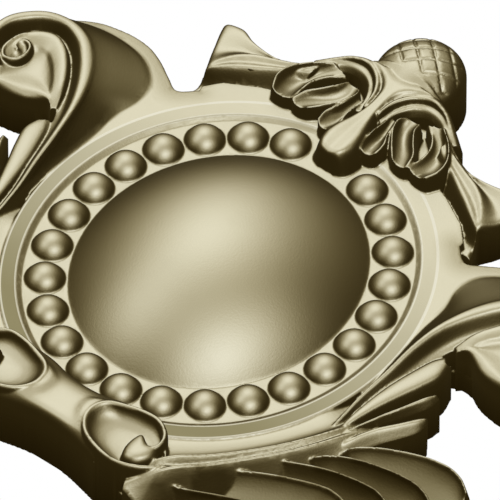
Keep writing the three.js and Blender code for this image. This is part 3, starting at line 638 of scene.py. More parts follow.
# The acanthus lobes from the highest to the lowest, each with its crest and the foot of its face.
LOBES: tuple[Rails, ...] = (
    (
        (
            (20, -54, 4), (28.7, -47, 4.6), (36.9, -42.3, 4.6), (46.1, -37.9, 4.4), (56.2, -34.4, 4),
            (66.2, -32.9, 3.4), (74, -34.2, 2), (80.6, -38, -0.5),
        ),
        (
            (30, -70, -6.5), (41, -65, -6), (51, -61.6, -6), (60, -60, -6), (68, -59.6, -6),
            (75, -60, -6.4), (80, -60.6, -7), (83.4, -60, -8),
        ),
    ),
    (
        (
            (10, -69, 4), (18.5, -62.4, 4.6), (29, -57.6, 4.8), (40, -54.2, 4.4), (51, -52, 3.8),
            (61, -51.6, 3), (70, -54.8, 1.4), (76, -61.4, -2),
        ),
        (
            (16, -82, -6.5), (27, -77, -6), (38, -73.6, -6), (48, -71.6, -6), (57, -71.4, -6),
            (65, -73.4, -6.4), (71, -77, -7), (75, -81.6, -8),
        ),
    ),
    (
        (
            (-2, -82.5, 4), (7, -78, 4.8), (17, -73.7, 5), (28, -70.2, 4.6), (39, -67.9, 4),
            (48, -67.4, 3.2), (57, -71, 2), (64.4, -79, 0), (68, -88, -3),
        ),
        (
            (4, -96, -6.5), (13, -92.4, -6), (22, -89.4, -6), (31, -87, -6), (40, -86, -6),
            (47.4, -87.4, -6), (53, -92, -6.5), (57, -98, -7.2), (59.6, -104, -8),
        ),
    ),
    (
        (
            (-30, -116, 4), (-20, -106, 5), (-9, -98, 5.2), (4, -91, 5.2), (17, -85.2, 4.8),
            (30, -81.4, 4), (41.5, -84, 2.6), (49.5, -94, 0.5), (53, -106, -3),
        ),
        (
            (-26, -131, -6.5), (-15, -125.6, -6), (-4, -121, -6), (6, -117, -6), (15, -114, -6),
            (24, -112.4, -6), (31.6, -114, -6.4), (37, -118.4, -7), (41.4, -123, -8),
        ),
    ),
    (
        (
            (-42, -133, 4), (-25, -125, 4.3), (-11.5, -118.5, 4.2), (1.5, -112.8, 4), (13, -109.8, 3.5),
            (23.5, -111.8, 2.5), (31, -118.6, 0.5), (34.5, -128, -3),
        ),
        (
            (-44, -146, -10), (-25, -144, -10), (-9, -140, -10), (4, -136.5, -10), (13, -134.5, -10),
            (19, -135, -10), (23.5, -136.5, -10), (27, -138.5, -10),
        ),
    ),
)


@dataclass
class LeafSpray:
    """The flutes and the acanthus lobes of one side, with the stem that they spring from.

    behind and below set the back of a lobe's crest, hollow is how far its face falls away, and lead is how
    far each form is carried back into the stem. stem_rows cuts across the stem, as distances outside the
    band with shares of the crest's height.
    """

    ring: OvalRing
    flutes: tuple[Rails, ...] = FLUTES
    lobes: tuple[Rails, ...] = LOBES
    behind: float = 2.2
    below: float = 7.5
    hollow: float = 8.0
    lead: float = 5.0
    face_shares: Outline = ((0.06, 0.16), (0.2, 0.4), (0.4, 0.64), (0.66, 0.88), (1, 1))
    stem_rows: Outline = (
        (-2, 0), (3, 0.02), (8, 0.14), (12, 0.42), (14.4, 0.8), (15.8, 1), (17.2, 0.86), (18.4, 0.7),
        (19.6, 0.86), (21, 1), (22.4, 0.8), (24.2, 0.4), (26.4, -0.1), (28.5, -0.6),
    )
    stem_rises: tuple[float, ...] = (6, 13.5, 11.3, 9.2, 7.8, 6.3, 3, -4)
    stem_swell: tuple[float, ...] = (0.8, 0.46, 0.22, 0.05, 0, 0, 0, 0)
    stem_base: float = -1.0
    stem_least: float = 2.0
    stem_from: float = math.radians(21)
    stem_to: float = math.radians(78)
    flute_steps: tuple[int, int] = (90, 24)
    lobe_steps: tuple[int, int] = (160, 44)
    stem_steps: tuple[int, int] = (120, 56)
    outline_steps: int = 40

    def blocks(self, side: int) -> list[Block]:
        """Make the spray of one side.

        Args:
            side: the half that it belongs to.

        Returns:
            The flutes, the lobes and the stem.
        """
        flutes = [anchored(led_in(rails, self.lead), self.ring.edge_x, 0.0, side) for rails in self.flutes]
        lobes = [self.lobe(crest, foot, side) for crest, foot in self.lobes]
        return [*(loft(flute, *self.flute_steps) for flute in flutes), *lobes, self.stem(side)]

    def lobe(self, crest: Rail, foot: Rail, side: int) -> Block:
        """Make one lobe: a thin crest with a hollow face that falls away below it.

        Args:
            crest: the line of the crest, from the stem to the tip.
            foot: the line where the face ends.
            side: the half that it belongs to.

        Returns:
            The lobe.
        """
        top = points_of(crest)
        low = points_of(foot) - (0, 0, self.hollow)
        along = np.gradient(top[:, :2], axis=0)
        along /= np.linalg.norm(along, axis=1, keepdims=True)
        back = top + np.column_stack([-along[:, 1], along[:, 0], np.zeros(len(top))]) * self.behind
        back[:, 2] -= self.below
        face = [top + (low - top) * (way, way, fall) for way, fall in self.face_shares]
        rails = led_in([back, top, *face], self.lead)
        return loft(anchored(rails, self.ring.edge_x, 0.0, side), *self.lobe_steps)

    def face_outlines(self) -> list[np.ndarray]:
        """Find the outlines of the lobes' faces on the right half.

        Returns:
            One closed outline for each lobe, as (x, z).
        """
        found = []
        for pair in self.lobes:
            crest, foot = (spline(points_of(rail), self.outline_steps)[:, :2] for rail in pair)
            found.append(np.concatenate([crest, foot[::-1]]) + (self.ring.edge_x, 0))
        return found

    def stem(self, side: int) -> Block:
        """Make the twin-ridged stem, which follows the ring.

        Args:
            side: the half that it belongs to.

        Returns:
            The stem.
        """
        angles = np.linspace(self.stem_from, self.stem_to, len(self.stem_rises))
        rails = []
        crest = np.array(self.stem_rises)
        base = np.minimum(self.stem_base, crest - self.stem_least)
        for outward, share in self.stem_rows:
            reach = self.ring.band_out + outward * (1 + np.array(self.stem_swell))
            plan = self.ring.points(angles, reach[:, None])
            height = PLATE + base + (crest - base) * share
            rails.append(np.stack([side * plan[:, 0], -height, plan[:, 1]], axis=-1))
        return loft(np.array(rails), *self.stem_steps)


# The rim of a bottom scroll, all the way round, as (x, height above the lower edge of the band).
SCROLL_RIM: Outline = (
    (63, -12), (57.5, -19.4), (46, -24.4), (33.1, -23), (21.5, -17.4), (16.2, -8.9), (17, -0.8),
    (20.8, 3.6), (27.5, 6.4), (37.9, 9.2), (47.2, 9.5), (55.4, 5.6), (60, -0.6), (63, -6),
)

# The right half of the roll between the scrolls, from its upper edge down to its lower one.
ROLL_RAILS: Rails = (
    ((0, 12.4, -2), (12, 13.2, -2), (22, 15.2, -2), (34, 16, -2)),
    ((0, 10.4, 5.5), (12, 11.2, 6), (22, 13, 7), (34, 14, 7)),
    ((0, 6.5, 10.2), (12, 7, 10.8), (20, 8.5, 12.5), (30, 9, 13)),
    ((0, 0, 13), (11, 0, 13.3), (19, 0, 15), (26, 0, 15)),
    ((0, -9, 13.4), (11, -9, 13.8), (19, -10, 15.3), (26, -12, 15)),
    ((0, -17.5, 12.6), (11, -18, 12.8), (21, -19.4, 13.6), (30, -22, 13)),
    ((0, -19.6, 10), (11, -20.2, 10), (23, -22.4, 10), (34, -25.6, 10)),
    ((0, -20.8, 5), (12, -21.5, 5), (25, -24.2, 5), (36, -27, 5)),
)


@dataclass
class BottomScrolls:
    """The two scrolls at the bottom and the roll between them.

    Each scroll is a dish inside its rim, with a hooked ridge round it and a button at its eye. Profiles are
    shares of the way out from the middle, with the rise over the rim there.
    """

    ring: OvalRing
    eye: tuple[float, float] = (49.5, -8)
    rim: Outline = SCROLL_RIM
    rim_rises: tuple[float, ...] = (11, 13.6, 15, 15.6, 15.6, 15.6, 15.6, 15.6, 15.6, 15.4, 15, 13, 9.6, 9)
    profile: Outline = (
        (1.03, -1.6), (1.015, -0.4), (0.99, 0), (0.955, -0.5), (0.92, -2), (0.84, -4.6), (0.7, -6.6),
        (0.5, -7.8), (0.2, -8.2), (0, -8.2),
    )
    hook: Rail = (
        (74, 1, 6), (66.4, -10, 12), (57.5, -19.4, 14.4), (45.9, -24.4, 15.4), (33.1, -23, 16),
        (21.5, -17.4, 16), (16.2, -8.9, 16), (17, -0.8, 16), (20.8, 3.6, 16), (27.5, 6.4, 16),
        (37.9, 9.2, 16), (47.2, 9.5, 15.8), (54.6, 5, 15.4), (57, -0.2, 15), (56, -5, 14.6),
        (52.6, -6.8, 14.2),
    )
    hook_half_width: float = 1.7
    hook_drop: float = 4.0
    button_at: tuple[float, float] = (51.2, -11)
    button: Rail = (
        (51.8, -4.3, 0), (44.6, -0.5, 0), (42.9, -4.6, 0), (43, -13.4, 0), (45.7, -18.7, 0),
        (51, -19.6, 0), (55.8, -17, 0), (59.4, -10.4, 0), (58.4, -5, 0),
    )
    button_profile: Outline = ((1.02, 5), (0.98, 10), (0.86, 13), (0.62, 14.6), (0.3, 15.2), (0, 15.3))
    roll: Rails = ROLL_RAILS
    near_hook: tuple[int, int] = (4, 11)
    roll_overlap: float = 0.8
    rim_foot: float = 10.4
    roll_steps: tuple[int, int] = (100, 50)
    hook_steps: int = 240

    def blocks(self) -> list[Block]:
        """Make both scrolls and the roll, which ends at their rims.

        Returns:
            The roll first, then the dish, the button and the hook of each scroll.
        """
        roll = points_of(mirrored(self.roll))
        raised = roll[:, -1, 2] > self.rim_foot
        near_side = np.array(self.hook)[slice(*self.near_hook)]
        reach = np.interp(roll[raised, -1, 1], near_side[:, 1], near_side[:, 0]) + self.roll_overlap
        roll[raised, :, 0] *= (reach / roll[raised, -1, 0])[:, None]
        made = [loft(anchored(roll, 0, -self.ring.edge_z), *self.roll_steps)]
        for side in Side:
            anchor = (0.0, -self.ring.edge_z, side)
            rim = [(x, z, rise) for (x, z), rise in zip(self.rim, self.rim_rises)]
            made.append(dish(rim, self.eye, self.profile, anchor))
            made.append(dish(self.button, self.button_at, self.button_profile, anchor))
            made.append(bead(self.hook, anchor, self.hook_half_width, self.hook_drop, self.hook_steps))
        return made


# The right half of the tongue of the bow: its middle, its edge and its foot.
TONGUE_HALF_RAILS: Rails = (
    (
        (0, -30.4, 6), (0, -28.6, 12), (0, -22, 13), (0, -12, 13), (0, -3, 12.6), (0, 6, 12.6),
        (0, 14, 13), (0, 21, 13.6), (0, 27, 14), (0, 32.5, 13),
    ),
    (
        (3.2, -30.2, 6), (5.6, -27.6, 12), (8, -20, 12.8), (7, -11.5, 12.8), (4.6, -3, 12.4),
        (2.8, 6, 12.4), (2.6, 14, 12.8), (3.8, 21, 13.2), (8.5, 27, 13.6), (20, 32.5, 12.6),
    ),
    (
        (5, -31, -4), (10.5, -28, -4), (13, -20, -4), (11.5, -11.5, -4), (9, -3, -2), (6, 6, 0),
        (5.5, 14, 2), (8, 21, 4), (15, 27, 6), (23, 30.5, 8),
    ),
)

# The looped lobes of the bow, each with foot, crest, middle, crest and foot.
BOW_LOBES: tuple[Rails, ...] = (
    (
        ((6.5, 12, 2), (6.4, 5, 0), (6, -3, -2), (6.2, -10, -4), (8.6, -15, -6)),
        ((8, 12, 7), (9, 5.4, 10), (8.8, -2, 11), (8.6, -8.6, 10.6), (10.2, -13, 10)),
        ((10, 12, 7), (11.4, 5.6, 9.2), (12.2, -1.6, 9.8), (12.4, -8, 10), (13.4, -14.6, 9.6)),
        ((12, 12, 7), (14, 6, 10), (16, -1, 11), (18.4, -6.6, 10.6), (18, -11, 10)),
        ((13.4, 12, 2), (15.6, 6, 1), (17.8, -0.6, 0), (20.6, -6.6, -2), (19.8, -12.6, -6)),
    ),
    (
        ((14, 16, 2), (11.6, 11, 1), (13, 4, 0), (18.6, -4.6, -1), (25.4, -10.8, -4)),
        ((15.4, 16.4, 8), (13.6, 11.6, 10.4), (15.4, 4.8, 11), (20.8, -3.4, 11), (26.6, -9.2, 10.4)),
        ((19, 17, 8), (18.6, 11.6, 9), (21.6, 5, 9.4), (26.6, -2.4, 9.8), (31, -11.2, 10.4)),
        ((23, 17, 8), (24.6, 10.4, 10.6), (29.4, 3.2, 11.2), (34.6, -3.4, 11), (36, -9.8, 10.4)),
        ((24.4, 17.4, 2), (26.6, 11, 1), (31.4, 4, 0), (36.6, -3, -1), (38, -10.8, -4)),
    ),
    (
        ((25, 19, 2), (32, 13, 1), (35.5, 6, 0), (36, -2, -1), (35, -9, -4)),
        ((26, 19.4, 7), (33.4, 13.6, 7.5), (37.4, 6.2, 8), (38, -2, 8.6), (36.4, -9.6, 10)),
        ((31, 20.6, 9), (38.6, 14, 8.6), (43.4, 5.6, 8.8), (44.4, -3.4, 9.2), (42.4, -13, 10.6)),
        ((35, 21, 10.4), (44.4, 12.8, 11.6), (50.8, 3.5, 12.4), (52, -4, 12.2), (49, -10.8, 11.4)),
        ((36.6, 21.6, 4), (46, 13.8, 3), (52.8, 4.5, 1), (54.4, -4.6, -2), (51, -12, -6)),
    ),
)

# The two arches over the lobes, each from the inner edge to the outer one.
BOW_ARCHES: tuple[Rails, ...] = (
    (
        (
            (5.6, 5.5, 8), (7.6, 16, 9), (13, 24, 9), (21, 28, 8), (29, 26.4, 6), (35.4, 22, 4),
            (43.5, 15.5, 1),
        ),
        (
            (4.6, 6, 12.4), (6.6, 17, 12.8), (12.6, 25.6, 13), (21, 29.8, 13), (29.4, 28.2, 12),
            (36.4, 23.6, 10), (45, 17, 7),
        ),
        (
            (3.6, 6.6, 12.2), (5.6, 18.2, 12.6), (12, 27.2, 12.8), (21, 31.6, 12.6), (30.2, 29.8, 11),
            (37.6, 25, 9), (46.4, 18.4, 6),
        ),
        (
            (2.4, 7.2, 9), (4.4, 19.6, 10), (11, 29.4, 11), (20.6, 34, 10), (31, 32, 4), (39, 26.8, 2),
            (48, 20.2, 0),
        ),
    ),
    (
        (
            (8.6, 3.6, 2), (10.4, 13, 3), (15.4, 20.4, 4), (22.4, 23.6, 5), (29.4, 22.4, 5), (35, 17.8, 4),
            (41, 10.4, 2),
        ),
        (
            (7.4, 4, 8), (9.4, 14.6, 8.6), (14.8, 22.8, 9), (22.4, 26.2, 9), (30.4, 24.8, 9),
            (37, 19.8, 8.6), (43.4, 11.8, 7),
        ),
        (
            (6.2, 4.4, 8), (8.4, 16.2, 8.6), (14.2, 25.2, 9), (22.4, 28.8, 9), (31.4, 27.2, 9),
            (38.8, 21.8, 8.6), (45.6, 13.2, 7),
        ),
    ),
)

# A tail of the bow, out to its tip, from the foot of its upper edge to the foot of its lower one.
TAIL_RAILS: Rails = (
    (
        (36, 24, 2), (45, 17, 2), (54, 12, 1), (62, 9.6, 1), (71, 9.8, 1), (79.5, 11.6, 1),
        (88.5, 15.8, 0), (96, 15.6, 0),
    ),
    (
        (36, 22, 8), (45, 15.4, 7.4), (54, 10.6, 6.8), (62, 8.2, 6), (71, 8.4, 5.4), (79.5, 10, 5),
        (88, 13.4, 4.4), (97, 12.6, 3),
    ),
    (
        (39, 18.6, 8), (47.2, 13.2, 6.4), (55, 10, 5), (63, 7.2, 4.2), (71.4, 5.4, 3.6), (79.6, 2.4, 3.4),
        (86.4, -2, 3), (91.5, -6.4, 2),
    ),
    (
        (40, 17, 9), (48, 11.5, 8.6), (55.5, 8, 8.4), (63, 5, 8.2), (70.6, 2, 8), (77.5, -3, 7.6),
        (82.8, -9.2, 6.6), (86.4, -15.2, 5),
    ),
    (
        (40.6, 14, 8.4), (48.8, 8.4, 7.6), (56.2, 4.4, 7.2), (63.5, 0.8, 7), (70.8, -3.2, 6.8),
        (77.2, -7.4, 6.4), (82.2, -11.8, 5.6), (86, -16, 4.6),
    ),
    (
        (41, 11, 8.6), (49.5, 5, 8), (57, 0.8, 7.8), (64, -3.8, 7.6), (70.8, -8, 7.4), (76.6, -11.6, 7),
        (81.6, -14.6, 6), (85.6, -17, 4.6),
    ),
    (
        (43, 4, 2), (51, -2.5, 0), (58.2, -7.5, -1), (65.2, -12, -1.5), (71.6, -15.6, -2),
        (77.2, -18.6, -2), (82, -21, -2), (86.8, -22.4, -2),
    ),
    (
        (46, -8, -2), (54, -12, -2), (61.5, -15.6, -2), (68.8, -19.3, -2), (74, -22.4, -2), (79, -25, -2),
        (83.7, -27.2, -2), (88.3, -27.6, -2),
    ),
)


@dataclass
class Bow:
    """The bow that crowns the ring: its tongue, its lobes, its arches and its two tails.

    A lobe is a ribbon, hollow between its two crests, whose free end is rounded into a nose.
    """

    ring: OvalRing
    tongue: Rails = TONGUE_HALF_RAILS
    lobes: tuple[Rails, ...] = BOW_LOBES
    arches: tuple[Rails, ...] = BOW_ARCHES
    tail: Rails = TAIL_RAILS
    ribbon_hollow: float = 5.0
    ribbon_edge: float = 0.4
    ribbon_edge_fall: float = 0.7
    ribbon_ends: tuple[float, float] = (0.15, math.pi - 0.3)
    ribbon_nose: float = 4.0
    nose_back: float = 0.5
    tail_end: float = 2.0
    tail_foot: float = 0.5
    tail_sink: float = 4.0
    nose_shares: tuple[float, ...] = (0.0, 0.12, 0.28, 0.5, 0.72, 0.88, 1.0)
    tongue_steps: tuple[int, int] = (120, 40)
    lobe_steps: tuple[int, int] = (90, 44)
    arch_steps: tuple[int, int] = (100, 16)
    tail_steps: tuple[int, int] = (110, 60)

    def blocks(self) -> list[Block]:
        """Make the whole bow.

        Returns:
            The tongue first, then the lobes, the arches and the tail of each side.
        """
        middle, edge, foot = self.tongue
        left = [tuple((-x, z, rise) for x, z, rise in rail) for rail in (foot, edge)]
        made = [loft(anchored((*left, middle, edge, foot), 0, self.ring.edge_z), *self.tongue_steps)]
        for side in Side:
            anchor = (0.0, self.ring.edge_z, side)
            made += [loft(anchored(self.ribbon(rails), *anchor), *self.lobe_steps) for rails in self.lobes]
            made += [loft(anchored(rails, *anchor), *self.arch_steps) for rails in self.arches]
            tail = led_in(np.array(self.tail)[:, ::-1], self.tail_end)[:, ::-1]
            tail[..., 2] -= np.where(tail[..., 2] < self.tail_foot, self.tail_sink, 0)
            made.append(loft(anchored(tail, *anchor), *self.tail_steps))
        return made

    def ribbon(self, rails: Rails) -> np.ndarray:
        """Hollow a lobe between its two crests, deepest half-way along.

        Args:
            rails: foot, crest, middle, crest and foot.

        Returns:
            The rails, with one more beside each crest so that its edge stays thin.
        """
        foot, crest, middle, far_crest, far_foot = points_of(rails)
        fall = self.ribbon_hollow * np.sin(np.linspace(*self.ribbon_ends, len(middle)))
        middle = middle - np.column_stack([np.zeros((len(middle), 2)), fall])
        inward = (self.ribbon_edge, self.ribbon_edge, self.ribbon_edge_fall)
        near, far = (edge + (middle - edge) * inward for edge in (crest, far_crest))
        made = np.array([foot, crest, near, middle, far, far_crest, far_foot])
        forward = made[3, -1, :2] - made[3, -2, :2]
        forward /= np.linalg.norm(forward)
        across = made[-1, -1, :2] - made[0, -1, :2]
        start = made[0, -1, :2] - forward * self.ribbon_nose * self.nose_back
        for rail, share in zip(made, self.nose_shares):
            bulge = self.ribbon_nose * math.sqrt(1 - (2 * share - 1) ** 2)
            rail[-1, :2] = start + across * share + forward * bulge
        return made


# The right half of the collar under the acorn, from its lower edge up.
COLLAR_HALF_RAILS: Rails = (
    ((0, 28, 12), (12, 29.5, 11.4), (20, 31, 9)),
    ((0, 33.4, 13.6), (12, 33.6, 12.6), (21.4, 33.6, 9)),
    ((0, 36.6, 15.4), (12, 36.6, 14), (21.8, 36, 8)),
)


@dataclass
class Acorn:
    """The acorn on top of the bow, and the collar that it sits in."""

    ring: OvalRing
    half_width: float = 23.4
    half_height: float = 24.6
    rise: float = 16.5
    up: float = 45.5
    collar: Rails = COLLAR_HALF_RAILS
    lattice_lean: float = math.radians(42)
    lattice_pitch: float = 8.4
    lattice_half_width: float = 1.1
    lattice_depth: float = 1.0
    lattice_from: float = -6.5
    lattice_to: float = 24.0
    lattice_fade: float = 1.5
    lattice_reach: float = 0.93
    nut_rings: int = 40
    nut_steps: int = 120
    collar_steps: tuple[int, int] = (60, 20)

    @property
    def middle(self) -> float:
        """Height of the acorn's middle above the origin."""
        return self.ring.edge_z + self.up

    def blocks(self) -> list[Block]:
        """Make the nut and its collar.

        Returns:
            The two blocks.
        """
        rings = []
        for tilt in np.linspace(0, math.pi / 2, self.nut_rings):
            half = (self.half_width * math.cos(tilt), self.half_height * math.cos(tilt))
            rings.append(oval((0.0, self.middle), half, PLATE + self.rise * math.sin(tilt), self.nut_steps))
        nut = block_over(np.array(rings), wrapped=True)
        return [nut, loft(anchored(mirrored(self.collar), 0, self.ring.edge_z), *self.collar_steps)]

    def engrave(self, mesh: bpy.types.Mesh) -> None:
        """Cut the lattice of grooves into the nut.

        Args:
            mesh: the fused mesh, in metres.
        """
        points = coordinates(mesh) / MM
        x = points[:, 0]
        z = points[:, 2] - self.middle
        low, high = self.lattice_from, self.lattice_to
        fade = np.clip((z - low) / self.lattice_fade, 0, 1) * np.clip((high - z) / self.lattice_fade, 0, 1)
        rim = self.lattice_reach - np.hypot(x / self.half_width, z / self.half_height)
        fade *= np.clip(rim * self.half_width / self.lattice_fade, 0, 1)
        depth = np.zeros(len(points))
        for side in Side:
            run = side * x * math.sin(self.lattice_lean) + z * math.cos(self.lattice_lean)
            place = np.abs((run / self.lattice_pitch + 0.5) % 1 - 0.5) * self.lattice_pitch
            depth = np.maximum(depth, self.lattice_depth * np.clip(1 - place / self.lattice_half_width, 0, 1))
        points[:, 1] += depth * fade
        set_coordinates(mesh, points * MM)


@dataclass
class BackBody:
    """The plain body behind the carvings."""

    ring: OvalRing
    web_height: float = 13.0
    crown_drop: float = 4.0
    bottom_drop: float = 6.0
    bottom_corner: tuple[float, float] = (70.0, 10.0)
    shoulder_fall: float = 2.2
    shoulder_reach: float = 15.0
    shoulder_band: float = 1.5
    shoulder_edge: Outline = (
        (-23.5, -27.6), (-14.5, -34.6), (-6.5, -30.6), (3.5, -24.6), (13.5, -20.6), (24.5, -19.6),
        (33.5, -20.6), (43.5, -23.1), (54, -29), (63, -37.5),
    )
    under_volute: Outline = ((40, -45), (12, -62), (6, -80), (2, -94))
    under_bow: Outline = ((0, 3), (20, 4), (40, 0), (60, -8), (76, -17), (84, -25))
    under_band: tuple[float, ...] = (100, 115, 130, 150, 165, 180)
    web: Outline = (
        (-30, 40), (0, 60), (50, 60), (62, 45), (55, 28), (38, 27.5), (25, 29), (19, 26), (20.5, 16),
        (21, 10), (25.5, 4), (28, -4), (31.5, -12), (32, -20), (30, -30), (42, -37), (60, -33), (76, -36),
        (80, -48), (72, -62), (66, -82), (56, -92), (51, -106), (40, -116), (32, -128), (14, -134),
        (-10, -139), (-44, -143), (-60, -110),
    )
    crown: Outline = (
        (-80, -30), (-80, -8), (-60, 0), (-30, 20), (-18, 26), (18, 26), (30, 20), (60, 0), (80, -8),
        (80, -30),
    )
    bottom_edge: Outline = (
        (-70, -26.5), (-45, -25.5), (-28, -22.5), (-9, -18.8), (0, -18.3), (9, -18.8), (28, -22.5),
        (45, -25.5), (70, -26.5),
    )
    rounding_steps: int = 160
    shoulder_steps: int = 60
    bottom_steps: int = 80

    def round_shoulders(self, mesh: bpy.types.Mesh) -> None:
        """Let the flat shoulders fall away a little towards their outer edge.

        Args:
            mesh: the fused mesh, in metres.
        """
        points = coordinates(mesh) / MM
        edge = np.array(smooth_line(self.shoulder_edge, self.rounding_steps))
        gap = np.full(len(points), self.shoulder_reach)
        for x, z in edge + (self.ring.edge_x, self.ring.edge_z):
            gap = np.minimum(gap, np.hypot(np.abs(points[:, 0]) - x, points[:, 2] - z))
        level = -points[:, 1]
        fall = self.shoulder_fall * (1 - gap / self.shoulder_reach) ** 2
        flat = np.clip((PLATE + self.shoulder_band - level) / self.shoulder_band, 0, 1)
        points[:, 1] += fall * flat * np.minimum(level / PLATE, 1)
        set_coordinates(mesh, points * MM)

    def shoulder(self) -> list[tuple[float, float]]:
        """Find the outline of the right shoulder, from the bow down to the middle of the band.

        Returns:
            Its corners, as (x, z).
        """
        edge_x, edge_z = self.ring.edge_x, self.ring.edge_z
        band = self.ring.band_out - self.ring.band_shoulder - self.ring.band_width / 2
        outline = [(x, edge_z + up) for x, up in self.under_bow]
        edge = [*smooth_line(self.shoulder_edge, self.shoulder_steps), *self.under_volute]
        outline += [(edge_x + out, edge_z + up) for out, up in edge]
        outline += [(float(x), float(z)) for x, z in self.ring.points(np.radians(self.under_band), band)]
        return outline

    def blocks(self) -> list[Block]:
        """Make the shoulders, the webs behind the leaves and the plates behind bow and scrolls.

        Returns:
            The shoulder and the web of each side, then the plates.
        """
        edge_x, edge_z = self.ring.edge_x, self.ring.edge_z
        made = []
        for side in Side:
            made.append(slab([(side * x, z) for x, z in self.shoulder()], PLATE))
            made.append(slab([(side * (edge_x + out), up) for out, up in self.web], self.web_height))
        made.append(slab([(x, edge_z + up) for x, up in self.crown], PLATE - self.crown_drop))
        out, up = self.bottom_corner
        lower = [(-out, up), *smooth_line(self.bottom_edge, self.bottom_steps), (out, up)]
        made.append(slab([(x, -edge_z + up) for x, up in lower], PLATE - self.bottom_drop))
        return made


@dataclass
class Cartouche:
    """The whole casting, fused into one piece.

    Corners with an edge over longest_edge hold still in the last easing, and boss and pearls go back to
    their exact heights from within settle_reach.
    """

    ring: OvalRing = field(default_factory=OvalRing)
    voxel: float = 0.58
    easing_rounds: int = 9
    last_rounds: int = 3
    longest_edge: float = 1.3
    sharp_angle: float = math.radians(70)
    triangles: int = 190_000
    settle_reach: float = 0.45

    def __post_init__(self) -> None:
        """Lay out the carvings round the ring."""
        self.scrolls = BottomScrolls(self.ring)
        self.bow = Bow(self.ring)
        self.acorn = Acorn(self.ring)
        self.back = BackBody(self.ring)
        self.volute = SideVolute(self.ring)
        self.spray = LeafSpray(self.ring)

    def blocks(self) -> list[Block]:
        """Collect the blocks of every carving.

        Returns:
            The blocks, which overlap each other.
        """
        made = []
        for carving in (self.ring, self.scrolls, self.bow, self.acorn, self.back):
            made += carving.blocks()
        for side in Side:
            made += self.volute.blocks(side) + self.spray.blocks(side)
        return made

    def build(self, finish: bpy.types.Material) -> bpy.types.Object:
        """Build the piece.

        Args:
            finish: the material that it takes.

        Returns:
            The finished object, which rides on the body and stands for the node.
        """
        mesh = mesh_of(self.blocks())
        log.info("blocks: %d triangles", len(mesh.polygons))
        piece = bpy.data.objects.new("cartouche_casting", mesh)
        bpy.context.scene.collection.objects.link(piece)
        apply_modifier(piece, "REMESH", {"mode": "VOXEL", "voxel_size": self.voxel * MM, "adaptivity": 0.0})
        log.info("fused: %d faces", len(piece.data.polygons))
        ease(piece.data, self.easing_rounds)
        self.settle(piece.data)
        self.acorn.engrave(piece.data)
        self.back.round_shoulders(piece.data)
        share = self.triangles / (2 * len(piece.data.polygons))
        apply_modifier(piece, "DECIMATE", {"ratio": min(1.0, share)})
        ease(piece.data, self.last_rounds, self.longest_edge * MM)
        self.settle(piece.data)
        mark_hollows(piece.data)
        mark_faces(piece.data, [self.volute.face_outline(), *self.spray.face_outlines()])
        piece.data.shade_smooth()
        piece.data.set_sharp_from_angle(angle=self.sharp_angle)
        piece.data.materials.append(finish)
        piece.visible_glossy = False
        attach(piece, BODY)
        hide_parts(NODE)
        log.info("finished: %d triangles", len(piece.data.polygons))
        return piece

    def settle(self, mesh: bpy.types.Mesh) -> None:
        """Bring the boss and the pearls back to their exact heights, and the piece into its box.

        Args:
            mesh: the mesh, in metres.
        """
        points = coordinates(mesh) / MM
        true = self.ring.true_heights(points[:, 0], points[:, 2])
        close = (true > 0) & (np.abs(-points[:, 1] - true) < self.settle_reach)
        points[close, 1] = -true[close]
        low, high = (np.array(corner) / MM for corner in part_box(NODE))
        set_coordinates(mesh, np.clip(points, low, high) * MM)


def mesh_of(blocks: list[Block]) -> bpy.types.Mesh:
    """Put closed blocks, in millimetres, into one Blender mesh, in metres.

    Args:
        blocks: the blocks, which may overlap.

    Returns:
        The mesh.
    """
    corners = []
    triangles = []
    count = 0
    for block in blocks:
        corners.append(block.corners)
        triangles.append(block.triangles + count)
        count += len(block.corners)
    mesh = bpy.data.meshes.new("cartouche_casting")
    faces = np.concatenate(triangles).astype(np.int32)
    mesh.vertices.add(count)
    mesh.vertices.foreach_set("co", (np.concatenate(corners) * MM).ravel())
    mesh.loops.add(faces.size)
    mesh.loops.foreach_set("vertex_index", faces.ravel())
    mesh.polygons.add(len(faces))
    mesh.polygons.foreach_set("loop_start", np.arange(0, faces.size, 3, dtype=np.int32))
    mesh.update(calc_edges=True)
    mesh.validate()
    return mesh


def apply_modifier(piece: bpy.types.Object, kind: str, settings: dict[str, object]) -> None:
    """Add a modifier to a piece and keep its result as the piece's mesh.

    Args:
        piece: the object.
        kind: the modifier's type.
        settings: its settings by name.
    """
    modifier = piece.modifiers.new(kind.lower(), kind)
    for name, value in settings.items():
        setattr(modifier, name, value)
    graph = bpy.context.evaluated_depsgraph_get()
    before = piece.data
    piece.data = bpy.data.meshes.new_from_object(piece.evaluated_get(graph))
    piece.modifiers.clear()
    bpy.data.meshes.remove(before)


def coordinates(mesh: bpy.types.Mesh) -> np.ndarray:
    """Read a mesh's corners.

    Args:
        mesh: the mesh.

    Returns:
        Its corners, one to a row.
    """
    found = np.empty(len(mesh.vertices) * 3)
    mesh.vertices.foreach_get("co", found)
    return found.reshape(-1, 3)


def set_coordinates(mesh: bpy.types.Mesh, points: np.ndarray) -> None:
    """Write a mesh's corners."""
    mesh.vertices.foreach_set("co", points.ravel())
    mesh.update()


def store(mesh: bpy.types.Mesh, name: str, values: np.ndarray) -> None:
    """Store a value for each corner of a mesh, which the finish reads by its name."""
    mesh.attributes.new(name, "FLOAT", "POINT").data.foreach_set("value", values)


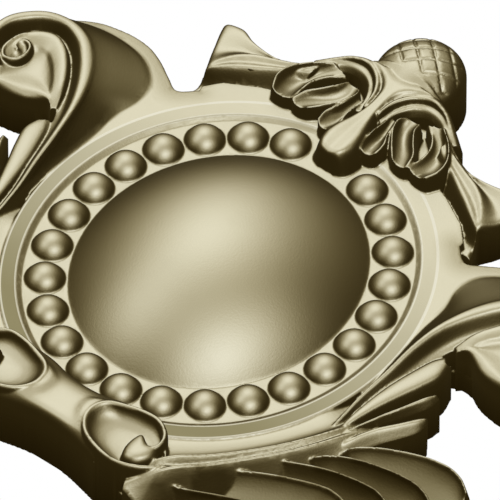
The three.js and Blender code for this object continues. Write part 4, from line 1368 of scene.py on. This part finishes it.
def ease(mesh: bpy.types.Mesh, rounds: int, longest: float = math.inf) -> None:
    """Ease the sharp edges without shrinking the mesh.

    Args:
        mesh: the mesh.
        rounds: how many times to smooth and swell back.
        longest: corners with an edge longer than this, in metres, stay where they are.
    """
    inward = 0.6
    outward = -0.62
    points = coordinates(mesh)
    edges = np.empty(len(mesh.edges) * 2, dtype=np.int32)
    mesh.edges.foreach_get("vertices", edges)
    a, b = edges.reshape(-1, 2).T
    count = len(points)
    neighbours = np.maximum(np.bincount(a, minlength=count) + np.bincount(b, minlength=count), 1)
    far = np.linalg.norm(points[a] - points[b], axis=1) > longest
    free = np.bincount(a[far], minlength=count) + np.bincount(b[far], minlength=count) == 0
    for _ in range(rounds):
        for weight in (inward, outward):
            for axis in range(3):
                values = points[:, axis]
                around = np.bincount(a, values[b], count) + np.bincount(b, values[a], count)
                points[:, axis] = values + free * weight * (around / neighbours - values)
    set_coordinates(mesh, points)


def mark_hollows(mesh: bpy.types.Mesh) -> None:
    """Store how far each corner lies below or above the relief round it, for the finish, which paints shade
    into the hollows and a highlight with wear onto the crests.

    Args:
        mesh: the mesh, in metres.
    """
    cell = 1.0
    reach = 5
    deep = 7.0
    high = 4.0
    points = coordinates(mesh) / MM
    column = ((points[:, 0] - points[:, 0].min()) / cell).astype(int) + reach
    line = ((points[:, 2] - points[:, 2].min()) / cell).astype(int) + reach
    relief = np.zeros((column.max() + reach + 1, line.max() + reach + 1))
    np.maximum.at(relief, (column, line), -points[:, 1])
    span = range(-reach, reach + 1)
    shifts = [(i, j) for i in span for j in span if i * i + j * j <= reach * reach]
    around = sum(np.roll(relief, shift, axis=(0, 1)) for shift in shifts) / len(shifts)
    proud = -points[:, 1] - around[column, line]
    # The finish paints shade by the hollow value and a highlight with rubbed wear by the crest value.
    store(mesh, "hollow", np.clip(-proud / deep, 0, 1))
    store(mesh, "crest", np.clip(proud / high, 0, 1))


def mark_faces(mesh: bpy.types.Mesh, outlines: list[np.ndarray]) -> None:
    """Store how far each corner lies inside the leaves' faces, which the finish darkens.

    Args:
        mesh: the mesh, in metres.
        outlines: closed outlines on the right half, as (x, z) in millimetres; the left half mirrors it.
    """
    ramp = 1.6
    least = 1e-9
    points = coordinates(mesh) / MM
    place = np.column_stack([np.abs(points[:, 0]), points[:, 2]])
    share = np.zeros(len(points))
    for outline in outlines:
        low, high = outline.min(axis=0), outline.max(axis=0)
        near = np.flatnonzero(np.all((place > low) & (place < high), axis=1))
        x, z = place[near].T
        inside = np.zeros(len(near), dtype=bool)
        depth = np.full(len(near), ramp)
        for (ax, az), (bx, bz) in zip(outline, np.roll(outline, -1, axis=0)):
            dx, dz = bx - ax, bz - az
            inside ^= ((az > z) != (bz > z)) & ((x - ax) * abs(dz) < (z - az) * dx * np.sign(dz))
            along = np.clip(((x - ax) * dx + (z - az) * dz) / max(dx * dx + dz * dz, least), 0, 1)
            depth = np.minimum(depth, np.hypot(x - ax - along * dx, z - az - along * dz))
        share[near] = np.maximum(share[near], np.where(inside, depth / ramp, 0))
    store(mesh, "dark_face", share)


# Places of the Mix node's colour sockets, which share their names with its other sockets.
FACTOR_SOCKET = 0
FIRST_COLOUR_SOCKET = 6
SECOND_COLOUR_SOCKET = 7
MIXED_COLOUR_SOCKET = 2


class Maths(Enum):
    """Operations of a Math node."""

    ADD = "ADD"
    SUBTRACT = "SUBTRACT"
    MULTIPLY = "MULTIPLY"
    POWER = "POWER"
    ABSOLUTE = "ABSOLUTE"
    EXPONENT = "EXPONENT"


class Wire:
    """An output socket that takes part in sums: each operator adds a Math node."""

    def __init__(self, desk: "NodeDesk", socket: bpy.types.NodeSocket) -> None:
        """Wrap a socket of a node tree."""
        self.desk = desk
        self.socket = socket

    def __add__(self, other: "Wire | float") -> "Wire":
        """Add."""
        return self.desk.sum(Maths.ADD, self, other)

    def __radd__(self, other: float) -> "Wire":
        """Add to a number."""
        return self.desk.sum(Maths.ADD, other, self)

    def __sub__(self, other: "Wire | float") -> "Wire":
        """Subtract."""
        return self.desk.sum(Maths.SUBTRACT, self, other)

    def __rsub__(self, other: float) -> "Wire":
        """Subtract from a number."""
        return self.desk.sum(Maths.SUBTRACT, other, self)

    def __mul__(self, other: "Wire | float") -> "Wire":
        """Multiply."""
        return self.desk.sum(Maths.MULTIPLY, self, other)

    def __rmul__(self, other: float) -> "Wire":
        """Multiply a number."""
        return self.desk.sum(Maths.MULTIPLY, other, self)

    def __pow__(self, other: float) -> "Wire":
        """Raise to a power."""
        return self.desk.sum(Maths.POWER, self, other)

    def __abs__(self) -> "Wire":
        """Drop the sign."""
        return self.desk.sum(Maths.ABSOLUTE, self)

    def exponential(self) -> "Wire":
        """Raise e to this power."""
        return self.desk.sum(Maths.EXPONENT, self)

    def clamped(self) -> "Wire":
        """Keep the value between 0 and 1."""
        return self.desk.make("ShaderNodeClamp", {}, {"Value": self})


class NodeDesk:
    """Makes the nodes of one tree."""

    def __init__(self, tree: bpy.types.NodeTree) -> None:
        """Start with an empty tree."""
        self.tree = tree
        tree.nodes.clear()

    def node(self, kind: str, settings: dict[str, object], inputs: dict[str | int, object]) -> bpy.types.Node:
        """Make one node.

        Args:
            kind: the node's type.
            settings: its settings, which are set first.
            inputs: values or wires for its sockets, by name or number.

        Returns:
            The node.
        """
        made = self.tree.nodes.new(kind)
        for name, value in settings.items():
            setattr(made, name, value)
        for key, value in inputs.items():
            socket = made.inputs[key]
            if isinstance(value, Wire):
                self.tree.links.new(value.socket, socket)
            else:
                socket.default_value = value
        return made

    def make(
        self,
        kind: str,
        settings: dict[str, object],
        inputs: dict[str | int, object],
        output: str | int = 0,
    ) -> Wire:
        """Make one node and return one of its outputs."""
        return Wire(self, self.node(kind, settings, inputs).outputs[output])

    def sum(self, operation: Maths, first: Wire | float, second: Wire | float = 0.0) -> Wire:
        """Add one Math node."""
        return self.make("ShaderNodeMath", {"operation": operation.value}, {0: first, 1: second})

    def attribute(self, name: str) -> Wire:
        """Read a value that the mesh stores for each corner."""
        return self.make("ShaderNodeAttribute", {"attribute_name": name}, {}, "Fac")

    def noise(self, place: Wire, scale: float, detail: float) -> Wire:
        """Make cloudy noise, from 0 to 1, over a place."""
        return self.make("ShaderNodeTexNoise", {}, {"Vector": place, "Scale": scale, "Detail": detail})

    def mix(self, share: Wire, first: Wire | Colour, second: Wire | Colour) -> Wire:
        """Mix two colours.

        Args:
            share: how much of the second shows.
            first: the first colour.
            second: the second colour.

        Returns:
            The mixed colour.
        """
        inputs = {FACTOR_SOCKET: share, FIRST_COLOUR_SOCKET: first, SECOND_COLOUR_SOCKET: second}
        return self.make("ShaderNodeMix", {"data_type": "RGBA"}, inputs, MIXED_COLOUR_SOCKET)


@dataclass(frozen=True)
class BronzeFinish:
    """Pale antique bronze, bare on the back, lighter on the crests from rubbed wear and a painted highlight,
    and darkened in the hollows by painted shade.

    Lengths are in metres here, because the shader sees the object in metres. A steepness is how fast the
    edge of a mark fades, per metre.
    """

    # Lighter crest colour: partly rubbed wear, partly a painted highlight.
    worn_and_highlit: Colour = (0.65, 0.60, 0.42, 1)
    body: Colour = (0.60, 0.55, 0.37, 1)
    # Darker colour over the leaves' faces.
    dark_face: Colour = (0.34, 0.295, 0.165, 1)
    # Painted shade for the hollows.
    hollow: Colour = (0.36, 0.31, 0.18, 1)
    # Darker colour for the band round the pearls, full low down and fading out towards the top.
    dark_band: Colour = (0.29, 0.255, 0.13, 1)
    # Painted highlight lines along the band's edges.
    painted_highlight_line: Colour = (0.72, 0.68, 0.52, 1)
    bare: Colour = (0.30, 0.265, 0.20, 1)
    roughness: float = 0.25
    hollow_roughness: float = 0.1
    dark_band_roughness: float = 0.1
    bare_roughness: float = 0.4
    mottle_roughness: float = 0.06
    crest_mottle: float = 0.5
    hollow_mottle: float = 0.25
    dark_face_mottle: float = 0.15
    mottle_scale: float = 28.0
    mottle_detail: float = 5.0
    grain_scale: float = 900.0
    grain_detail: float = 2.0
    grain_depth: float = 0.00004
    dark_band_from: float = 0.55
    dark_band_fall: float = 6.0
    band_middle: tuple[float, float] = (0.10195, 0.11105)
    band_half_width: float = 0.0041
    band_height: float = 0.024
    band_depth: float = 0.0003
    band_steepness: float = 4000.0
    line_half_width: float = 0.0006
    line_depth: float = 0.0009
    line_steepness: float = 3000.0
    bare_depth: float = 0.0004

    def build(self) -> bpy.types.Material:
        """Build the material.

        Returns:
            The material.
        """
        material = bpy.data.materials.new("pale_bronze")
        material.use_nodes = True
        desk = NodeDesk(material.node_tree)
        place = desk.make("ShaderNodeTexCoord", {}, {}, "Object")
        parts = desk.node("ShaderNodeSeparateXYZ", {}, {"Vector": place})
        x, y, z = (Wire(desk, parts.outputs[axis]) for axis in "XYZ")
        cloud = desk.noise(place, self.mottle_scale, self.mottle_detail)
        mottle = cloud - 0.5
        # Lighter on the crests: partly rubbed wear, partly a painted highlight.
        wear_and_highlight = (desk.attribute("crest") + mottle * self.crest_mottle).clamped()
        # Painted shade: darker in the hollows.
        hollow_shade = (desk.attribute("hollow") + mottle * self.hollow_mottle).clamped()
        # Darker over the leaves' faces.
        face_darkening = (desk.attribute("dark_face") - (1.0 - cloud) * self.dark_face_mottle).clamped()
        # A darker band round the pearls, fading out towards the top, and painted highlight lines along its
        # edges.
        band, line = self.ring_marks(x, y, z)
        back = ((y + self.bare_depth) * (1 / self.bare_depth)).clamped()
        # Mixes in the painted highlight and wear on the crests, and the painted shade in the hollows.
        colour = desk.mix(hollow_shade, desk.mix(wear_and_highlight, self.body, self.worn_and_highlit), self.hollow)
        # Then the darker leaves' faces, the darker band, the painted highlight lines and the bare back.
        coats = ((face_darkening, self.dark_face), (band, self.dark_band), (line, self.painted_highlight_line), (back, self.bare))
        for share, over in coats:
            colour = desk.mix(share, colour, over)
        rough = self.roughness + hollow_shade * self.hollow_roughness + band * self.dark_band_roughness
        rough = rough + mottle * self.mottle_roughness + back * self.bare_roughness
        grain = desk.noise(place, self.grain_scale, self.grain_detail)
        inputs = {"Height": grain, "Distance": self.grain_depth, "Strength": 1.0}
        bump = desk.make("ShaderNodeBump", {}, inputs)
        inputs = {"Base Color": colour, "Metallic": 1.0 - back, "Roughness": rough, "Normal": bump}
        surface = desk.make("ShaderNodeBsdfPrincipled", {}, inputs)
        desk.node("ShaderNodeOutputMaterial", {}, {"Surface": surface})
        return material

    def ring_marks(self, x: Wire, y: Wire, z: Wire) -> tuple[Wire, Wire]:
        """Find the darker band that runs round the pearls, full on the lower part and fading out towards the
        top, and the painted highlight lines along its two edges.

        Args:
            x: the place across.
            y: the place in depth.
            z: the place upward.

        Returns:
            How much of the band and how much of the lines there is.
        """
        wide, tall = self.band_middle
        reach = ((x * (1 / wide)) ** 2 + (z * (1 / tall)) ** 2) ** 0.5
        away = abs((reach - 1.0) * ((wide + tall) / 2))
        level = abs(y + self.band_height)
        lower = (self.dark_band_from - z * self.dark_band_fall).clamped()
        flat = (1.0 - (level - self.band_depth) * self.band_steepness).clamped() * lower
        band = (1.0 - (away - self.band_half_width) * self.band_steepness).clamped() * flat
        edge = abs(away - self.band_half_width)
        near = (1.0 - (level - self.line_depth) * self.band_steepness).clamped()
        line = (1.0 - (edge - self.line_half_width) * self.line_steepness).clamped() * near
        return band, line


@dataclass(frozen=True)
class SoftBox:
    """A soft light far away, as seen from the cartouche.

    towards is its direction as (right, up, towards the camera) in the camera's axes, spread how wide it
    is, and power its brightness.
    """

    towards: tuple[float, float, float]
    spread: float
    power: float


@dataclass
class Studio:
    """The camera, the soft light round the object and the pale floor, in metres."""

    right: Vector = field(default_factory=lambda: Vector((0.7815, 0.0, 0.624)))
    up: Vector = field(default_factory=lambda: Vector((-0.469, -0.659, 0.588)))
    width: float = 0.25
    distance: float = 12.0
    shift_right: float = 0.0156
    shift_up: float = 0.0095
    focus_depth: float = -0.024
    sensor: float = 36.0
    floor_level: float = -7.2
    floor_size: float = 160.0
    floor_colour: Colour = (0.86, 0.86, 0.85, 1)
    floor_roughness: float = 0.9
    backdrop: Colour = (1, 1, 1, 1)
    farthest: float = 300.0
    surround: float = 0.035
    green_fall: float = 1.1
    blue_fall: float = 1.42
    boxes: tuple[SoftBox, ...] = (
        SoftBox((0.109, 0.003, 0.994), 0.352, 1.25),
        SoftBox((-0.065, 0.97, 0.234), 0.453, 1.14),
        SoftBox((-0.67, 0.483, 0.564), 0.311, 0.72),
        SoftBox((0.525, 0.187, 0.83), 0.285, 0.44),
        SoftBox((-0.01, 0.936, -0.352), 0.277, 0.3),
    )

    def __post_init__(self) -> None:
        """Square the camera's axes."""
        self.up = (self.up - self.right * self.up.dot(self.right)).normalized()
        self.back = self.right.cross(self.up).normalized()

    def direction(self, towards: tuple[float, float, float]) -> Vector:
        """Turn a direction in the camera's axes into one of the object's.

        Args:
            towards: the direction, as (right, up, towards the camera).

        Returns:
            The same direction in the object's axes, one long.
        """
        x, y, z = towards
        return (self.right * x + self.up * y + self.back * z).normalized()

    def build(self) -> None:
        """Set up camera, light and floor."""
        bpy.context.scene.view_settings.view_transform = "Standard"
        self.camera()
        self.light()
        self.floor()

    def camera(self) -> None:
        """Make the camera at the photograph's angle, far off with a long lens."""
        data = bpy.data.cameras.new("camera")
        data.sensor_width = self.sensor
        data.lens = self.sensor * self.distance / self.width
        data.clip_end = self.farthest
        camera = bpy.data.objects.new("camera", data)
        bpy.context.scene.collection.objects.link(camera)
        bpy.context.scene.camera = camera
        target = Vector((0, self.focus_depth, 0)) + self.right * self.shift_right + self.up * self.shift_up
        stand = Matrix((self.right, self.up, self.back)).transposed().to_4x4()
        stand.translation = target + self.back * self.distance
        camera.matrix_world = stand
        log.info("camera %g m away", self.distance)

    def light(self) -> None:
        """Light the scene with soft boxes on a dark surround, and show it white to the camera."""
        world = bpy.data.worlds.new("studio")
        bpy.context.scene.world = world
        world.use_nodes = True
        desk = NodeDesk(world.node_tree)
        view = desk.make("ShaderNodeTexCoord", {}, {}, "Generated")
        glow: Wire | float = self.surround
        dot = {"operation": "DOT_PRODUCT"}
        for box in self.boxes:
            inputs = {0: view, 1: self.direction(box.towards)}
            facing = desk.make("ShaderNodeVectorMath", dot, inputs, "Value")
            lobe = ((facing - 1.0) * (1 / box.spread ** 2)).exponential()
            glow = lobe * box.power + glow
        tints = {"Red": glow, "Green": glow ** self.green_fall, "Blue": glow ** self.blue_fall}
        surround = desk.make("ShaderNodeCombineColor", {}, tints)
        path = desk.node("ShaderNodeLightPath", {}, {})
        seen = Wire(desk, path.outputs["Is Camera Ray"]) + Wire(desk, path.outputs["Is Diffuse Ray"])
        colour = desk.mix(seen.clamped(), surround, self.backdrop)
        background = desk.make("ShaderNodeBackground", {}, {"Color": colour})
        desk.node("ShaderNodeOutputWorld", {}, {"Surface": background})

    def floor(self) -> None:
        """Lay the plain pale floor."""
        half = self.floor_size / 2
        mesh = bpy.data.meshes.new("floor")
        plan = ((-half, -half), (half, -half), (half, half), (-half, half))
        mesh.from_pydata([(x, y, self.floor_level) for x, y in plan], [], [(0, 1, 2, 3)])
        material = bpy.data.materials.new("pale_floor")
        material.use_nodes = True
        desk = NodeDesk(material.node_tree)
        inputs = {"Base Color": self.floor_colour, "Roughness": self.floor_roughness}
        surface = desk.make("ShaderNodeBsdfPrincipled", {}, inputs)
        desk.node("ShaderNodeOutputMaterial", {}, {"Surface": surface})
        mesh.materials.append(material)
        floor = bpy.data.objects.new("floor", mesh)
        floor.visible_glossy = False
        bpy.context.scene.collection.objects.link(floor)


def main() -> None:
    """Build the cartouche, its finish and the studio."""
    logging.basicConfig(level=logging.INFO, format="%(message)s")
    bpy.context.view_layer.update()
    Studio().build()
    Cartouche().build(BronzeFinish().build())


if __name__ == "__main__":
    main()
